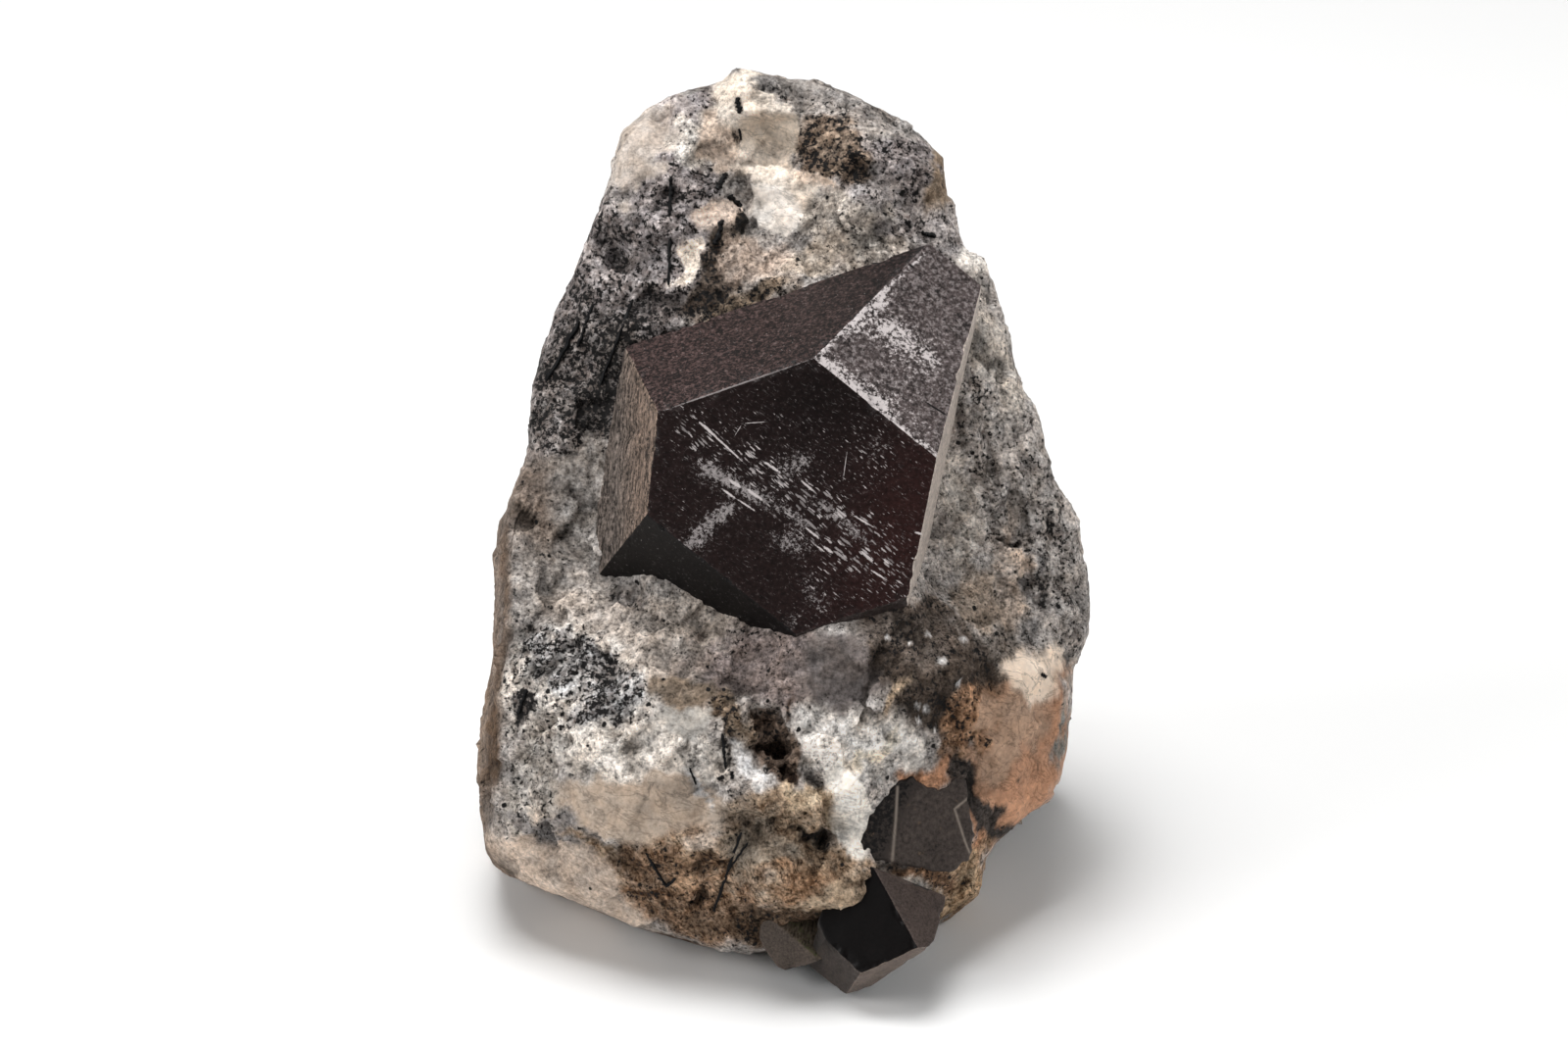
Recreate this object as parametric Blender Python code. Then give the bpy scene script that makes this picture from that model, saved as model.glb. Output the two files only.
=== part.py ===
"""A lorenzenite specimen: one large brown crystal, two small black ones and a flat
one set in a piece of feldspar rock, about 55 mm wide and 70 mm high.

The stone stands on a flat base with its show face leaning back. Shapes on the show
face are laid out in face coordinates, in millimetres from the middle of the large
crystal's front: across to the right, up along the leaning face, and out towards the
viewer. The world has +Z up, and the show face looks along -Y.
"""

import bmesh
import bpy
import numpy as np

MM = 0.001
LEAN = np.radians(25)
VIEW_DISTANCE = 377.8
FACE_CENTRE = np.array([-0.05, -10.9, 39.0])
SOCKET_GAP = 0.3

# The stone's outline as seen square to the show face, as (across, up), clockwise
# from the peak.
OUTLINE = [
    (-4.3, 39.6), (-2.3, 39.1), (0.0, 38.5), (2.6, 37.9), (4.3, 38.2), (6.8, 36.9),
    (10.6, 34.8), (12.3, 33.0), (13.8, 31.5), (14.2, 29.2), (15.0, 24.9), (15.3, 23.2),
    (17.0, 22.7), (17.9, 20.7), (19.0, 18.3), (19.6, 16.3), (20.2, 13.5), (20.9, 11.5),
    (22.2, 9.2), (22.9, 6.1), (23.7, 3.5), (25.6, 0.0), (25.9, -2.1), (26.5, -4.4),
    (26.6, -8.2), (26.4, -9.7), (25.0, -12.6), (24.9, -15.3), (24.6, -19.4), (24.0, -21.8),
    (23.0, -23.9), (20.7, -25.5), (18.7, -27.3), (17.4, -29.0), (16.7, -32.2), (14.3, -34.2),
    (11.9, -35.4), (4.3, -36.4), (-3.0, -37.2), (-7.2, -36.5), (-12.8, -34.9), (-18.1, -32.7),
    (-23.8, -30.6), (-25.2, -29.6), (-25.9, -28.4), (-26.2, -26.1), (-26.6, -22.2),
    (-26.2, -16.4), (-25.3, -11.8), (-25.1, -8.2), (-25.2, -3.1), (-24.9, 0.0), (-23.8, 2.0),
    (-22.4, 5.8), (-22.0, 11.8), (-21.1, 15.3), (-19.9, 18.4), (-18.4, 21.5), (-15.7, 28.5),
    (-15.0, 31.3), (-14.1, 33.7), (-11.9, 35.6), (-8.5, 37.9), (-5.4, 38.7),
]

# The lie of the show face: for each height up, points (across, out).
FRONT_ROWS = [
    (38.0, [(-4.3, -16.0), (4.5, -16.0)]),
    (35.0, [(-11.5, -15.8), (9.5, -15.8)]),
    (32.5, [(-13.8, -15.2), (-8.0, -14.4), (-2.5, -15.6), (4.5, -14.2), (12.3, -15.4)]),
    (27.5, [(-15.5, -14.6), (-9.4, -13.6), (-0.5, -14.8), (8.0, -13.2), (13.8, -15.0)]),
    (22.0, [(-17.5, -14.8), (-12.5, -13.2), (-5.0, -12.2), (4.5, -11.7), (12.2, -12.6), (15.3, -13.8)]),
    (16.5, [(-19.8, -14.6), (-13.6, -11.8), (17.4, -11.4), (19.2, -13.6)]),
    (10.5, [(-21.2, -14.2), (-17.0, -13.0), (16.6, -10.6), (20.4, -13.4)]),
    (5.0, [(-21.8, -13.0), (-17.6, -12.8), (17.2, -10.6), (22.6, -14.0)]),
    (-1.5, [(-22.4, -10.4), (-17.2, -12.3), (14.6, -10.4), (20.0, -11.4), (25.0, -14.6)]),
    (-5.2, [(-15.2, -8.8), (-11.2, -5.6), (13.2, -8.4)]),
    (-7.0, [(10.8, 0.0)]),
    (-8.2, [(-22.0, -6.8), (-7.0, -4.2), (6.2, -0.3), (9.9, 0.6), (17.0, -8.6), (25.6, -14.0)]),
    (-10.8, [(-13.6, -3.4), (-2.4, -1.6), (0.9, 0.4)]),
    (-14.0, [(-23.2, -6.6), (-8.5, -0.2), (-1.7, 0.4), (8.5, 0.2), (13.6, -2.6), (22.1, -9.5)]),
    (-19.0, [(-23.6, -6.4), (-17.0, -1.6), (-8.5, 1.5), (4.3, 1.0), (11.5, -1.6), (19.5, -7.0)]),
    (-19.0, [(24.2, -13.5)]),
    (-24.5, [(-23.8, -6.8), (-15.0, -1.4), (1.7, 0.9), (8.8, -0.9), (15.4, -4.4), (21.4, -10.5)]),
    (-29.5, [(-23.8, -9.0), (-16.0, -2.6), (-8.0, 0.2), (3.5, 0.4), (10.5, -2.4), (16.4, -8.0)]),
    (-32.8, [(-1.0, -0.6), (2.8, 0.3), (6.4, -0.2)]),
    (-33.5, [(-14.6, -5.0), (-8.0, -2.4), (14.0, -8.5)]),
    (-34.6, [(-2.6, -3.6), (2.0, -3.8), (6.4, -3.0)]),
    (-36.2, [(-7.0, -4.6), (-2.8, -4.0), (4.0, -6.0)]),
]
SHEET_SOFTNESS = 1.5
OUTLINE_GROWTH = 0.35
RIM_ROUNDING = 1.4
SIDE_ROUNDING = 0.5
BACK_ROUNDING = 1.6

# Behind the rim the flanks break away inwards, over the first few millimetres back.
RIM_OUT = -19.0
RIM_DEPTH = 6.0
FLANK_HOLLOW = 0.8

# Random relief of each kind of surface: length of its waves, height, and its seed.
SHOW_FACE_RELIEF = (6.5, 0.45, 11)
SIDE_RELIEF = (9.0, 0.2, 12)
BACK_RELIEF = (14.0, 0.7, 13)
BACK_FINE_RELIEF = (6.0, 0.35, 14)
FLANK_RELIEF = (8.0, 1.0, 15)
WAVE_COUNT = 24
WAVE_LENGTHS = (0.7, 1.5)
WAVE_PEAK = 1.6

# Lumps (+) and hollows (-) on the show face: across, up, half-length, half-width,
# turn in degrees, height. A higher steepness gives them flatter tops and steeper sides.
FEATURE_STEEPNESS = 1.5
FEATURES = {
    "hollow_round_the_square_grain": (-2.0, 32.6, 3.6, 2.6, 0, -1.4),
    "trough_of_white_feldspar": (0.4, 27.2, 5.0, 2.6, -45, -1.5),
    "dark_lump_upper_left": (-11.6, 28.4, 5.0, 3.6, 60, 1.1),
    "dark_lump_upper_right": (8.2, 33.0, 4.2, 2.6, -35, 1.1),
    "ridge_above_the_crystal": (7.0, 26.0, 4.4, 2.2, -20, 0.9),
    "lump_right_of_the_crystal": (22.0, 4.0, 3.6, 2.4, 70, 1.0),
    "granular_lump_below_right": (12.4, -13.4, 4.6, 3.4, 30, 1.5),
    "block_of_pale_feldspar": (21.6, -13.6, 2.6, 3.2, 0, 1.2),
    "bulge_lower_left": (-14.0, -23.0, 6.0, 3.6, -10, 1.0),
    "hollow_of_the_rough_grain": (-1.6, -19.4, 3.4, 2.2, 70, -1.5),
    "ledge_below_the_hollow": (-1.0, -24.4, 4.4, 1.8, -15, 0.9),
    "lump_bottom_middle": (0.5, -31.0, 4.4, 2.4, 10, 0.9),
    "lump_left_flank": (-19.6, 8.6, 2.6, 4.4, 10, 0.9),
}

# The brown side face on the left: its front edge runs straight down the stone.
SIDE_EDGE_ACROSS = -23.3
SIDE_EDGE_SLOPE = 0.081
SIDE_EDGE_OUT = -6.4
SIDE_FLARE = 0.2

# Broken faces of the back: heading and pitch in degrees (0, 0 looks along +Y, a
# positive heading turns towards -X), and distance from the stone's heart.
STONE_HEART = FACE_CENTRE + (0.0, 19.1, -11.0)
BACK_FACES = {
    "middle": (2, -9, 14.6),
    "left": (50, -3, 23.0),
    "right": (-47, 3, 23.0),
    "top": (-8, 50, 43.2),
    "low": (12, -46, 21.0),
}
STONE_FINENESS = 6
STONE_TRIANGLES = 6200
STONE_REACH = (2.0, 70.0)
REACH_HALVINGS = 22
BASE_FLATNESS = 0.01

# Faces of the large crystal, as (azimuth, dip, distance): azimuth in degrees round
# the front face from "across", dip in degrees away from it, distance in millimetres
# from the face centre. Faces come in parallel pairs, as in the real crystal.
LARGE_CRYSTAL_FACES = {
    "front": (0, 0, 0.0),
    "upper": (109.1, 56.3, 10.57),
    "upper_right": (51.0, 34.2, 7.16),
    "right": (348.5, 83.4, 11.79),
    "lower_right": (288.3, 50.0, 7.27),
    "lower_left": (231.2, 56.3, 5.74),
    "left": (173.8, 69.2, 11.16),
    "back": (0, 180, 19.5),
    "back_of_upper": (289.1, 123.7, 20.3),
    "back_of_upper_right": (231.0, 145.8, 20.7),
    "back_of_right": (168.5, 96.6, 18.2),
    "back_of_lower_right": (108.3, 130.0, 21.35),
    "back_of_lower_left": (51.2, 123.7, 28.5),
    "back_of_left": (353.8, 110.8, 20.0),
}

# The two small crystals, grown into each other: the middle of each, as (across, up,
# out), and its faces as above, with distances from that middle.
SMALL_CRYSTALS = {
    "right": (
        (8.5, -35.2, -3.0),
        {
            "front": (147.2, 19.1, 3.88),
            "upper_right": (45.2, 48.3, 4.43),
            "underside": (291.3, 67.2, 4.01),
            "lower_left": (214.5, 58.9, 5.27),
            "left": (194.5, 64.9, 5.7),
            "top": (69, 95, 4.7),
            "right_side": (352, 98, 5.05),
            "right_corner": (333, 97, 3.79),
            "lower_right": (312, 97, 3.05),
            "lowest": (282, 99, 4.85),
            "foot": (238, 98, 6.42),
            "base": (270, 115, 4.9),
            "left_side": (159, 102, 5.0),
            "back": (0, 180, 6.0),
        },
    ),
    "left": (
        (0.4, -36.0, -4.5),
        {
            "front": (207.0, 24.5, 1.38),
            "striated": (65.7, 33.9, 1.66),
            "upper_left": (150, 98, 3.02),
            "left": (193, 98, 2.5),
            "lower_left": (216, 98, 2.16),
            "foot": (243, 98, 2.57),
            "foot_right": (293, 97, 2.4),
            "base": (270, 115, 3.5),
            "right": (330, 80, 4.6),
            "back": (0, 180, 4.0),
        },
    ),
}

# The flat crystal's outline, as (across, up).
FLAT_CRYSTAL_OUTLINE = [
    (9.8, -22.3), (7.7, -26.6), (7.2, -28.8), (10.6, -29.6),
    (14.1, -30.4), (16.0, -29.3), (15.7, -26.6), (15.1, -22.6),
]
FLAT_CRYSTAL_OUT = -0.7
FLAT_CRYSTAL_SLOPE = -0.46
FLAT_CRYSTAL_THICKNESS = 2.6
FLAT_CRYSTAL_STANDS_OUT = 0.4
FLAT_CRYSTAL_BED = (11.9, -26.6, 5.4)
BED_STEEPNESS = 3

UNCUT_BLOCK = 120

# Colour and roughness.
STONE_LOOK = ((0.42, 0.39, 0.36), 0.85)
BROWN_CRYSTAL_LOOK = ((0.045, 0.028, 0.024), 0.35)
BLACK_CRYSTAL_LOOK = ((0.02, 0.018, 0.018), 0.3)
FLAT_CRYSTAL_LOOK = ((0.035, 0.032, 0.033), 0.45)


def clear_scene():
    for obj in list(bpy.data.objects):
        bpy.data.objects.remove(obj, do_unlink=True)


def lean_back(offsets):
    """World directions of offsets given as across, up and out."""
    across, up, out = np.moveaxis(np.asarray(offsets, float), -1, 0)
    back = up * np.sin(LEAN) - out * np.cos(LEAN)
    height = up * np.cos(LEAN) + out * np.sin(LEAN)
    return np.stack([across, back, height], axis=-1)


def to_world(points):
    """World positions in mm of points given as across, up and out. The layout is the
    view from VIEW_DISTANCE, so what lies further back is spread a little wider."""
    points = np.asarray(points, float)
    spread = 1 - points[..., 2:] / VIEW_DISTANCE
    return lean_back(np.concatenate([points[..., :2] * spread, points[..., 2:]], axis=-1)) + FACE_CENTRE


def to_face(points):
    """The opposite of to_world."""
    x, y, z = np.moveaxis(points - FACE_CENTRE, -1, 0)
    up = y * np.sin(LEAN) + z * np.cos(LEAN)
    out = z * np.sin(LEAN) - y * np.cos(LEAN)
    spread = 1 - out / VIEW_DISTANCE
    return x / spread, up / spread, out


def direction(heading, pitch):
    heading, pitch = np.radians([heading, pitch])
    return np.array([-np.sin(heading) * np.cos(pitch), np.cos(heading) * np.cos(pitch), np.sin(pitch)])


def smooth_max(a, b, rounding):
    """The greater of a and b, with the crease between them rounded off."""
    return 0.5 * (a + b + np.sqrt((a - b) ** 2 + rounding**2))


def random_relief(points, length, height, seed):
    """Gentle random relief of about the given height: a sum of plane waves that run in
    random directions, each about length mm long."""
    chance = np.random.default_rng(seed)
    heading = chance.normal(size=(WAVE_COUNT, 3))
    heading /= np.linalg.norm(heading, axis=1)[:, None]
    pace = 2 * np.pi / (length * chance.uniform(*WAVE_LENGTHS, WAVE_COUNT))
    phase = chance.uniform(0, 2 * np.pi, WAVE_COUNT)
    swell = np.sin((points - FACE_CENTRE) @ (heading * pace[:, None]).T + phase).sum(axis=1)
    return height * swell / (WAVE_PEAK * np.sqrt(WAVE_COUNT / 2))


def outline_distance(across, up):
    """Distance to the stone's outline, negative inside it."""
    corners = np.array(OUTLINE)
    place = np.stack([across, up], axis=1)
    nearest = np.full(len(place), np.inf)
    inside = np.zeros(len(place), bool)
    for start, end in zip(corners, np.roll(corners, -1, axis=0)):
        side = end - start
        along = np.clip((place - start) @ side / (side @ side), 0, 1)
        nearest = np.minimum(nearest, np.linalg.norm(place - start - along[:, None] * side, axis=1))
        crosses = (start[1] > up) != (end[1] > up)
        if start[1] != end[1]:
            inside ^= crosses & (across < start[0] + side[0] * (up - start[1]) / side[1])
    return np.where(inside, -nearest, nearest)


def make_sheet():
    """A smooth sheet through FRONT_ROWS: a sum of cones with blunt tips, one at each
    point, whose heights are solved so that the sheet meets every point."""
    posts = np.array([(across, up, out) for up, points in FRONT_ROWS for across, out in points])

    def cones(across, up):
        left, low, _ = posts.T
        return np.sqrt((across[:, None] - left) ** 2 + (up[:, None] - low) ** 2 + SHEET_SOFTNESS**2)

    middle = posts[:, 2].mean()
    heights = np.linalg.solve(cones(posts[:, 0], posts[:, 1]), posts[:, 2] - middle)
    return lambda across, up: middle + cones(across, up) @ heights


def feature_relief(across, up):
    """The named lumps and hollows, each a smooth mound on an oval."""
    relief = np.zeros(len(across))
    for left, low, length, width, turn, height in FEATURES.values():
        angle = np.radians(turn)
        along = (across - left) * np.cos(angle) + (up - low) * np.sin(angle)
        beside = (up - low) * np.cos(angle) - (across - left) * np.sin(angle)
        relief += height * np.exp(-((along / length) ** 2 + (beside / width) ** 2) ** FEATURE_STEEPNESS)
    return relief


def flat_crystal_top(across):
    return FLAT_CRYSTAL_OUT + FLAT_CRYSTAL_SLOPE * (across - FLAT_CRYSTAL_OUTLINE[1][0])


def show_face(points, across, up, sheet):
    """How far out the rock reaches: the sheet with its relief, levelled where the
    flat crystal lies in it."""
    rock = sheet(across, up) + feature_relief(across, up) + random_relief(points, *SHOW_FACE_RELIEF)
    left, low, radius = FLAT_CRYSTAL_BED
    bed = np.exp(-(((across - left) ** 2 + (up - low) ** 2) / radius**2) ** BED_STEEPNESS)
    return rock + bed * (flat_crystal_top(across) - FLAT_CRYSTAL_STANDS_OUT - rock)


def stone_field(points, sheet):
    """Negative inside the stone, positive outside: the show face, the outline, the
    left side face, the broken back and the flat base, each rounded into the next."""
    across, up, out = to_face(points)
    front = out - show_face(points, across, up, sheet)
    behind_rim = np.clip((RIM_OUT - out) / RIM_DEPTH, 0, 1)
    broken_away = np.maximum(FLANK_HOLLOW + random_relief(points, *FLANK_RELIEF), 0)
    flank = outline_distance(across, up) - OUTLINE_GROWTH + behind_rim * broken_away
    field = smooth_max(front, flank, RIM_ROUNDING)
    edge = SIDE_EDGE_ACROSS + SIDE_EDGE_SLOPE * up + SIDE_FLARE * (out - SIDE_EDGE_OUT)
    field = smooth_max(field, edge - across + random_relief(points, *SIDE_RELIEF), SIDE_ROUNDING)
    rough = random_relief(points, *BACK_RELIEF) + random_relief(points, *BACK_FINE_RELIEF)
    for heading, pitch, distance in BACK_FACES.values():
        face = (points - STONE_HEART) @ direction(heading, pitch) - distance
        field = smooth_max(field, face + rough, BACK_ROUNDING)
    return np.maximum(field, -points[:, 2])


def mesh_object(name, points, faces, colour, roughness):
    mesh = bpy.data.meshes.new(name)
    mesh.from_pydata(np.asarray(points) * MM, [], faces)
    obj = bpy.data.objects.new(name, mesh)
    bpy.context.collection.objects.link(obj)
    material = bpy.data.materials.new(name)
    material.use_nodes = True
    shader = material.node_tree.nodes["Principled BSDF"]
    shader.inputs["Base Color"].default_value = (*colour, 1)
    shader.inputs["Roughness"].default_value = roughness
    shader.inputs["Metallic"].default_value = 0
    mesh.materials.append(material)
    return obj


def make_stone():
    """A ball of rays from the stone's heart, each as long as the rock reaches."""
    ball = bmesh.new()
    bmesh.ops.create_icosphere(ball, subdivisions=STONE_FINENESS, radius=1)
    rays = np.array([vertex.co for vertex in ball.verts])
    faces = [[vertex.index for vertex in face.verts] for face in ball.faces]
    ball.free()
    sheet = make_sheet()
    near, far = np.outer(STONE_REACH, np.ones(len(rays)))
    for _ in range(REACH_HALVINGS):
        reach = (near + far) / 2
        inside = stone_field(STONE_HEART + rays * reach[:, None], sheet) < 0
        near = np.where(inside, reach, near)
        far = np.where(inside, far, reach)
    points = STONE_HEART + rays * near[:, None]
    points[:, 2] = np.where(points[:, 2] < BASE_FLATNESS, 0, points[:, 2])
    stone = mesh_object("matrix", points, faces, *STONE_LOOK)
    simplify = stone.modifiers.new("simplify", "DECIMATE")
    simplify.ratio = STONE_TRIANGLES / len(faces)
    return stone


def cut_crystal(middle, faces, grow=0.0):
    """World corners and the faces of a block cut square across each face's direction
    at its distance from the middle. Each cut moves out by grow mm."""
    block = bmesh.new()
    bmesh.ops.create_cube(block, size=UNCUT_BLOCK)
    for azimuth, dip, distance in faces.values():
        azimuth, dip = np.radians([azimuth, dip])
        normal = np.array([np.cos(azimuth) * np.sin(dip), np.sin(azimuth) * np.sin(dip), np.cos(dip)])
        everything = block.verts[:] + block.edges[:] + block.faces[:]
        cut = bmesh.ops.bisect_plane(
            block, geom=everything, plane_co=normal * (distance + grow), plane_no=normal, clear_outer=True
        )
        rim = [item for item in cut["geom_cut"] if isinstance(item, bmesh.types.BMEdge)]
        bmesh.ops.contextual_create(block, geom=rim)
    bmesh.ops.recalc_face_normals(block, faces=block.faces)
    points, faces = corners_and_faces(block)
    return lean_back(points) + to_world(middle), faces


def hull(corners):
    """World corners and the faces of the convex shape round corners in face coordinates."""
    shape = bmesh.new()
    for point in to_world(corners):
        shape.verts.new(point)
    bmesh.ops.convex_hull(shape, input=shape.verts)
    bmesh.ops.recalc_face_normals(shape, faces=shape.faces)
    return corners_and_faces(shape)


def corners_and_faces(shape):
    shape.verts.index_update()
    points = np.array([vertex.co for vertex in shape.verts])
    faces = [[vertex.index for vertex in face.verts] for face in shape.faces]
    shape.free()
    return points, faces


def make_large_crystal(name, grow=0.0):
    corners, faces = cut_crystal((0, 0, 0), LARGE_CRYSTAL_FACES, grow)
    return mesh_object(name, corners, faces, *BROWN_CRYSTAL_LOOK)


def make_small_crystals(name, grow=0.0):
    """The two crystals, grown through each other and so joined."""
    right, left = [
        mesh_object(label, *cut_crystal(*SMALL_CRYSTALS[side], grow), *BLACK_CRYSTAL_LOOK)
        for label, side in ((name, "right"), (name + "_left_half", "left"))
    ]
    hide_cutter(left)
    join = right.modifiers.new("join", "BOOLEAN")
    join.operation = "UNION"
    join.object = left
    return right


def make_flat_crystal(name, grow=0.0):
    """A thin slab whose top follows the slope of the rock around it."""
    middle = np.mean(FLAT_CRYSTAL_OUTLINE, axis=0)
    corners = []
    for across, up in FLAT_CRYSTAL_OUTLINE:
        top = flat_crystal_top(across)
        away = np.array([across, up]) - middle
        across, up = middle + away * (1 + grow / np.linalg.norm(away))
        corners += [(across, up, top + grow), (across, up, top - FLAT_CRYSTAL_THICKNESS - grow)]
    return mesh_object(name, *hull(corners), *FLAT_CRYSTAL_LOOK)


def hide_cutter(obj):
    obj.hide_render = True
    obj.display_type = "WIRE"


def cut_socket(stone, cutter):
    hide_cutter(cutter)
    socket = stone.modifiers.new(cutter.name, "BOOLEAN")
    socket.operation = "DIFFERENCE"
    socket.object = cutter


clear_scene()
stone = make_stone()
for make, name in (
    (make_large_crystal, "large_crystal"),
    (make_small_crystals, "small_crystals"),
    (make_flat_crystal, "embedded_crystal"),
):
    make(name)
    cut_socket(stone, make(name + "_socket", grow=SOCKET_GAP))
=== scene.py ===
"""A lorenzenite specimen: one large dark brown crystal, two small black ones and a flat
dark one, in a leaning block of feldspar rock peppered with black aegirine.

The sections follow the stone from the rock outwards: the rock, the needles in it, the
large crystal, the small ones, the flat one, and last the floor, the lights and the
camera. Shapes on the show face are laid out in face coordinates, in millimetres from
the middle of the large crystal's front: across to the right, up along the leaning
face, and out towards the viewer.
"""

from itertools import combinations

import bmesh
import bpy
import numpy as np
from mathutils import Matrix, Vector


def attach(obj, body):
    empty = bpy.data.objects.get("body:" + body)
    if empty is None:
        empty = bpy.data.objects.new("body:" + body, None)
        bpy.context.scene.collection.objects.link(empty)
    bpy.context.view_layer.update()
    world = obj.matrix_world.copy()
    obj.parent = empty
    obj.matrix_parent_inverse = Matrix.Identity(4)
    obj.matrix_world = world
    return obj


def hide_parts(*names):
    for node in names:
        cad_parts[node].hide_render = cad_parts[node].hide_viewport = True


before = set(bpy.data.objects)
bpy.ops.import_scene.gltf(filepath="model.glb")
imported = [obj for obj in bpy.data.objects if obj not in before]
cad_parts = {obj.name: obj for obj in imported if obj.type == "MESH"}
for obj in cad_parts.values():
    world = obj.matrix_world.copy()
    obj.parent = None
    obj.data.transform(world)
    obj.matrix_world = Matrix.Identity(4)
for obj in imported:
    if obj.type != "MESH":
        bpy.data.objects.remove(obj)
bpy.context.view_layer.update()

# The rock, its form.
# One block of feldspar, split from its vein: a leaning show face with hollows and
# ledges, a brown joint face down its left side, a broken back, and a foot ground flat.
MM = 0.001
LEAN = np.radians(25)
VIEW_DISTANCE = 377.8
FACE_CENTRE = np.array([-0.05, -10.9, 39.0])

# The outline of the show face, clockwise from its peak: across, up.
OUTLINE = np.array([
    (-5.0, 39.6), (-4.2, 40.1), (-3.0, 39.8), (-1.4, 39.2), (0.8, 38.8), (4.3, 38.3), (6.8, 37.0),
    (10.8, 35.1), (12.6, 33.3), (14.1, 31.7), (14.2, 29.2), (15.3, 24.9), (15.9, 23.6),
    (17.5, 23.1), (18.2, 20.9), (19.0, 18.3), (19.6, 16.3), (20.2, 13.5), (20.9, 11.5),
    (22.2, 9.2), (22.9, 6.1), (23.7, 3.5), (25.6, 0.0), (25.9, -2.1), (26.5, -4.4),
    (26.6, -8.2), (26.4, -9.7), (25.0, -12.6), (24.9, -15.3), (24.6, -19.4), (24.0, -21.8),
    (23.0, -23.9), (20.7, -25.5), (18.7, -27.3), (17.4, -29.0), (16.7, -32.2), (14.3, -34.2),
    (11.9, -35.4), (4.3, -36.4), (-3.0, -37.2), (-7.2, -36.5), (-12.8, -34.9), (-18.1, -32.7),
    (-23.8, -30.6), (-25.2, -29.6), (-25.9, -28.4), (-26.2, -26.1), (-26.6, -22.2),
    (-26.2, -16.4), (-25.3, -11.8), (-25.1, -8.2), (-25.2, -3.1), (-24.9, 0.0), (-23.8, 2.0),
    (-22.4, 5.8), (-22.0, 11.8), (-21.1, 15.3), (-19.9, 18.4), (-18.4, 21.5), (-15.7, 28.5),
    (-15.0, 31.3), (-14.3, 34.0), (-12.0, 36.1), (-8.5, 37.9), (-5.4, 38.7),
])

# Posts that the show face passes over: how far up a row of them lies, and for each
# post its place across and how far out it reaches.
FRONT_ROWS = [
    (38.0, [(-4.3, -16.0), (4.5, -16.0)]),
    (35.0, [(-11.5, -15.8), (9.5, -15.8)]),
    (32.5, [(-13.8, -15.2), (-8.0, -14.4), (-2.5, -15.6), (4.5, -14.2), (12.3, -15.4)]),
    (27.5, [(-15.5, -14.6), (-9.4, -13.6), (-0.5, -14.8), (8.0, -13.2), (13.8, -15.0)]),
    (22.0, [(-17.5, -14.8), (-12.5, -13.2), (-5.0, -12.2), (4.5, -11.7)]),
    (22.0, [(12.2, -12.6), (15.3, -13.8)]),
    (16.5, [(-19.8, -14.6), (-13.6, -11.8), (17.4, -11.4), (19.2, -13.6)]),
    (10.5, [(-21.2, -14.2), (-17.0, -13.0), (16.6, -10.6), (20.4, -13.4)]),
    (5.0, [(-21.8, -13.0), (-17.6, -12.8), (17.2, -10.6), (22.6, -14.0)]),
    (-1.5, [(-22.4, -10.4), (-17.2, -12.3), (14.6, -10.4), (20.0, -11.4), (25.0, -14.6)]),
    (-5.2, [(-15.2, -8.8), (-11.2, -5.6), (13.2, -8.4)]),
    (-7.0, [(10.8, 0.0)]),
    (-8.2, [(-22.0, -6.8), (-7.0, -4.2), (6.2, -0.3), (9.9, 0.6), (17.0, -8.6), (25.6, -14.0)]),
    (-10.8, [(-13.6, -3.4), (-2.4, -1.6), (0.9, 0.4)]),
    (-14.0, [(-23.2, -6.6), (-8.5, -0.2), (-1.7, 0.4), (8.5, 0.2), (13.6, -2.6), (22.1, -9.5)]),
    (-19.0, [(-23.6, -6.4), (-17.0, -1.6), (-8.5, 1.5), (4.3, 1.0), (11.5, -1.6), (19.5, -7.0)]),
    (-19.0, [(24.2, -13.5)]),
    (-24.5, [(-23.8, -6.8), (-15.0, -1.4), (1.7, 0.9), (8.8, -0.9), (15.4, -4.4), (21.4, -10.5)]),
    (-29.5, [(-23.8, -9.0), (-16.0, -2.6), (-8.0, 0.2), (3.5, 0.4), (10.5, -2.4), (16.4, -8.0)]),
    (-32.8, [(-1.0, -0.6), (2.8, 0.3), (6.4, -0.2)]),
    (-33.5, [(-14.6, -5.0), (-8.0, -2.4), (14.0, -8.5)]),
    (-34.6, [(-2.6, -3.6), (2.0, -3.8), (6.4, -3.0)]),
    (-36.2, [(-7.0, -4.6), (-2.8, -4.0), (4.0, -6.0)]),
]
SHEET_SOFTNESS = 1.5
OUTLINE_GROWTH = 0.35
RIM_ROUNDING = 1.4
SIDE_ROUNDING = 0.5
BACK_ROUNDING = 1.6
RIM_OUT = -19.0
RIM_DEPTH = 6.0
FLANK_HOLLOW = 0.8

# Random swells: length and height in mm, seed.
SHOW_FACE_RELIEF = (6.5, 0.45, 11)
SIDE_RELIEF = (9.0, 0.2, 12)
BACK_RELIEF = (14.0, 0.7, 13)
BACK_FINE_RELIEF = (6.0, 0.35, 14)
FLANK_RELIEF = (8.0, 1.0, 15)
WAVE_COUNT = 24
WAVE_LENGTHS = (0.7, 1.5)
WAVE_PEAK = 1.6

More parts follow.
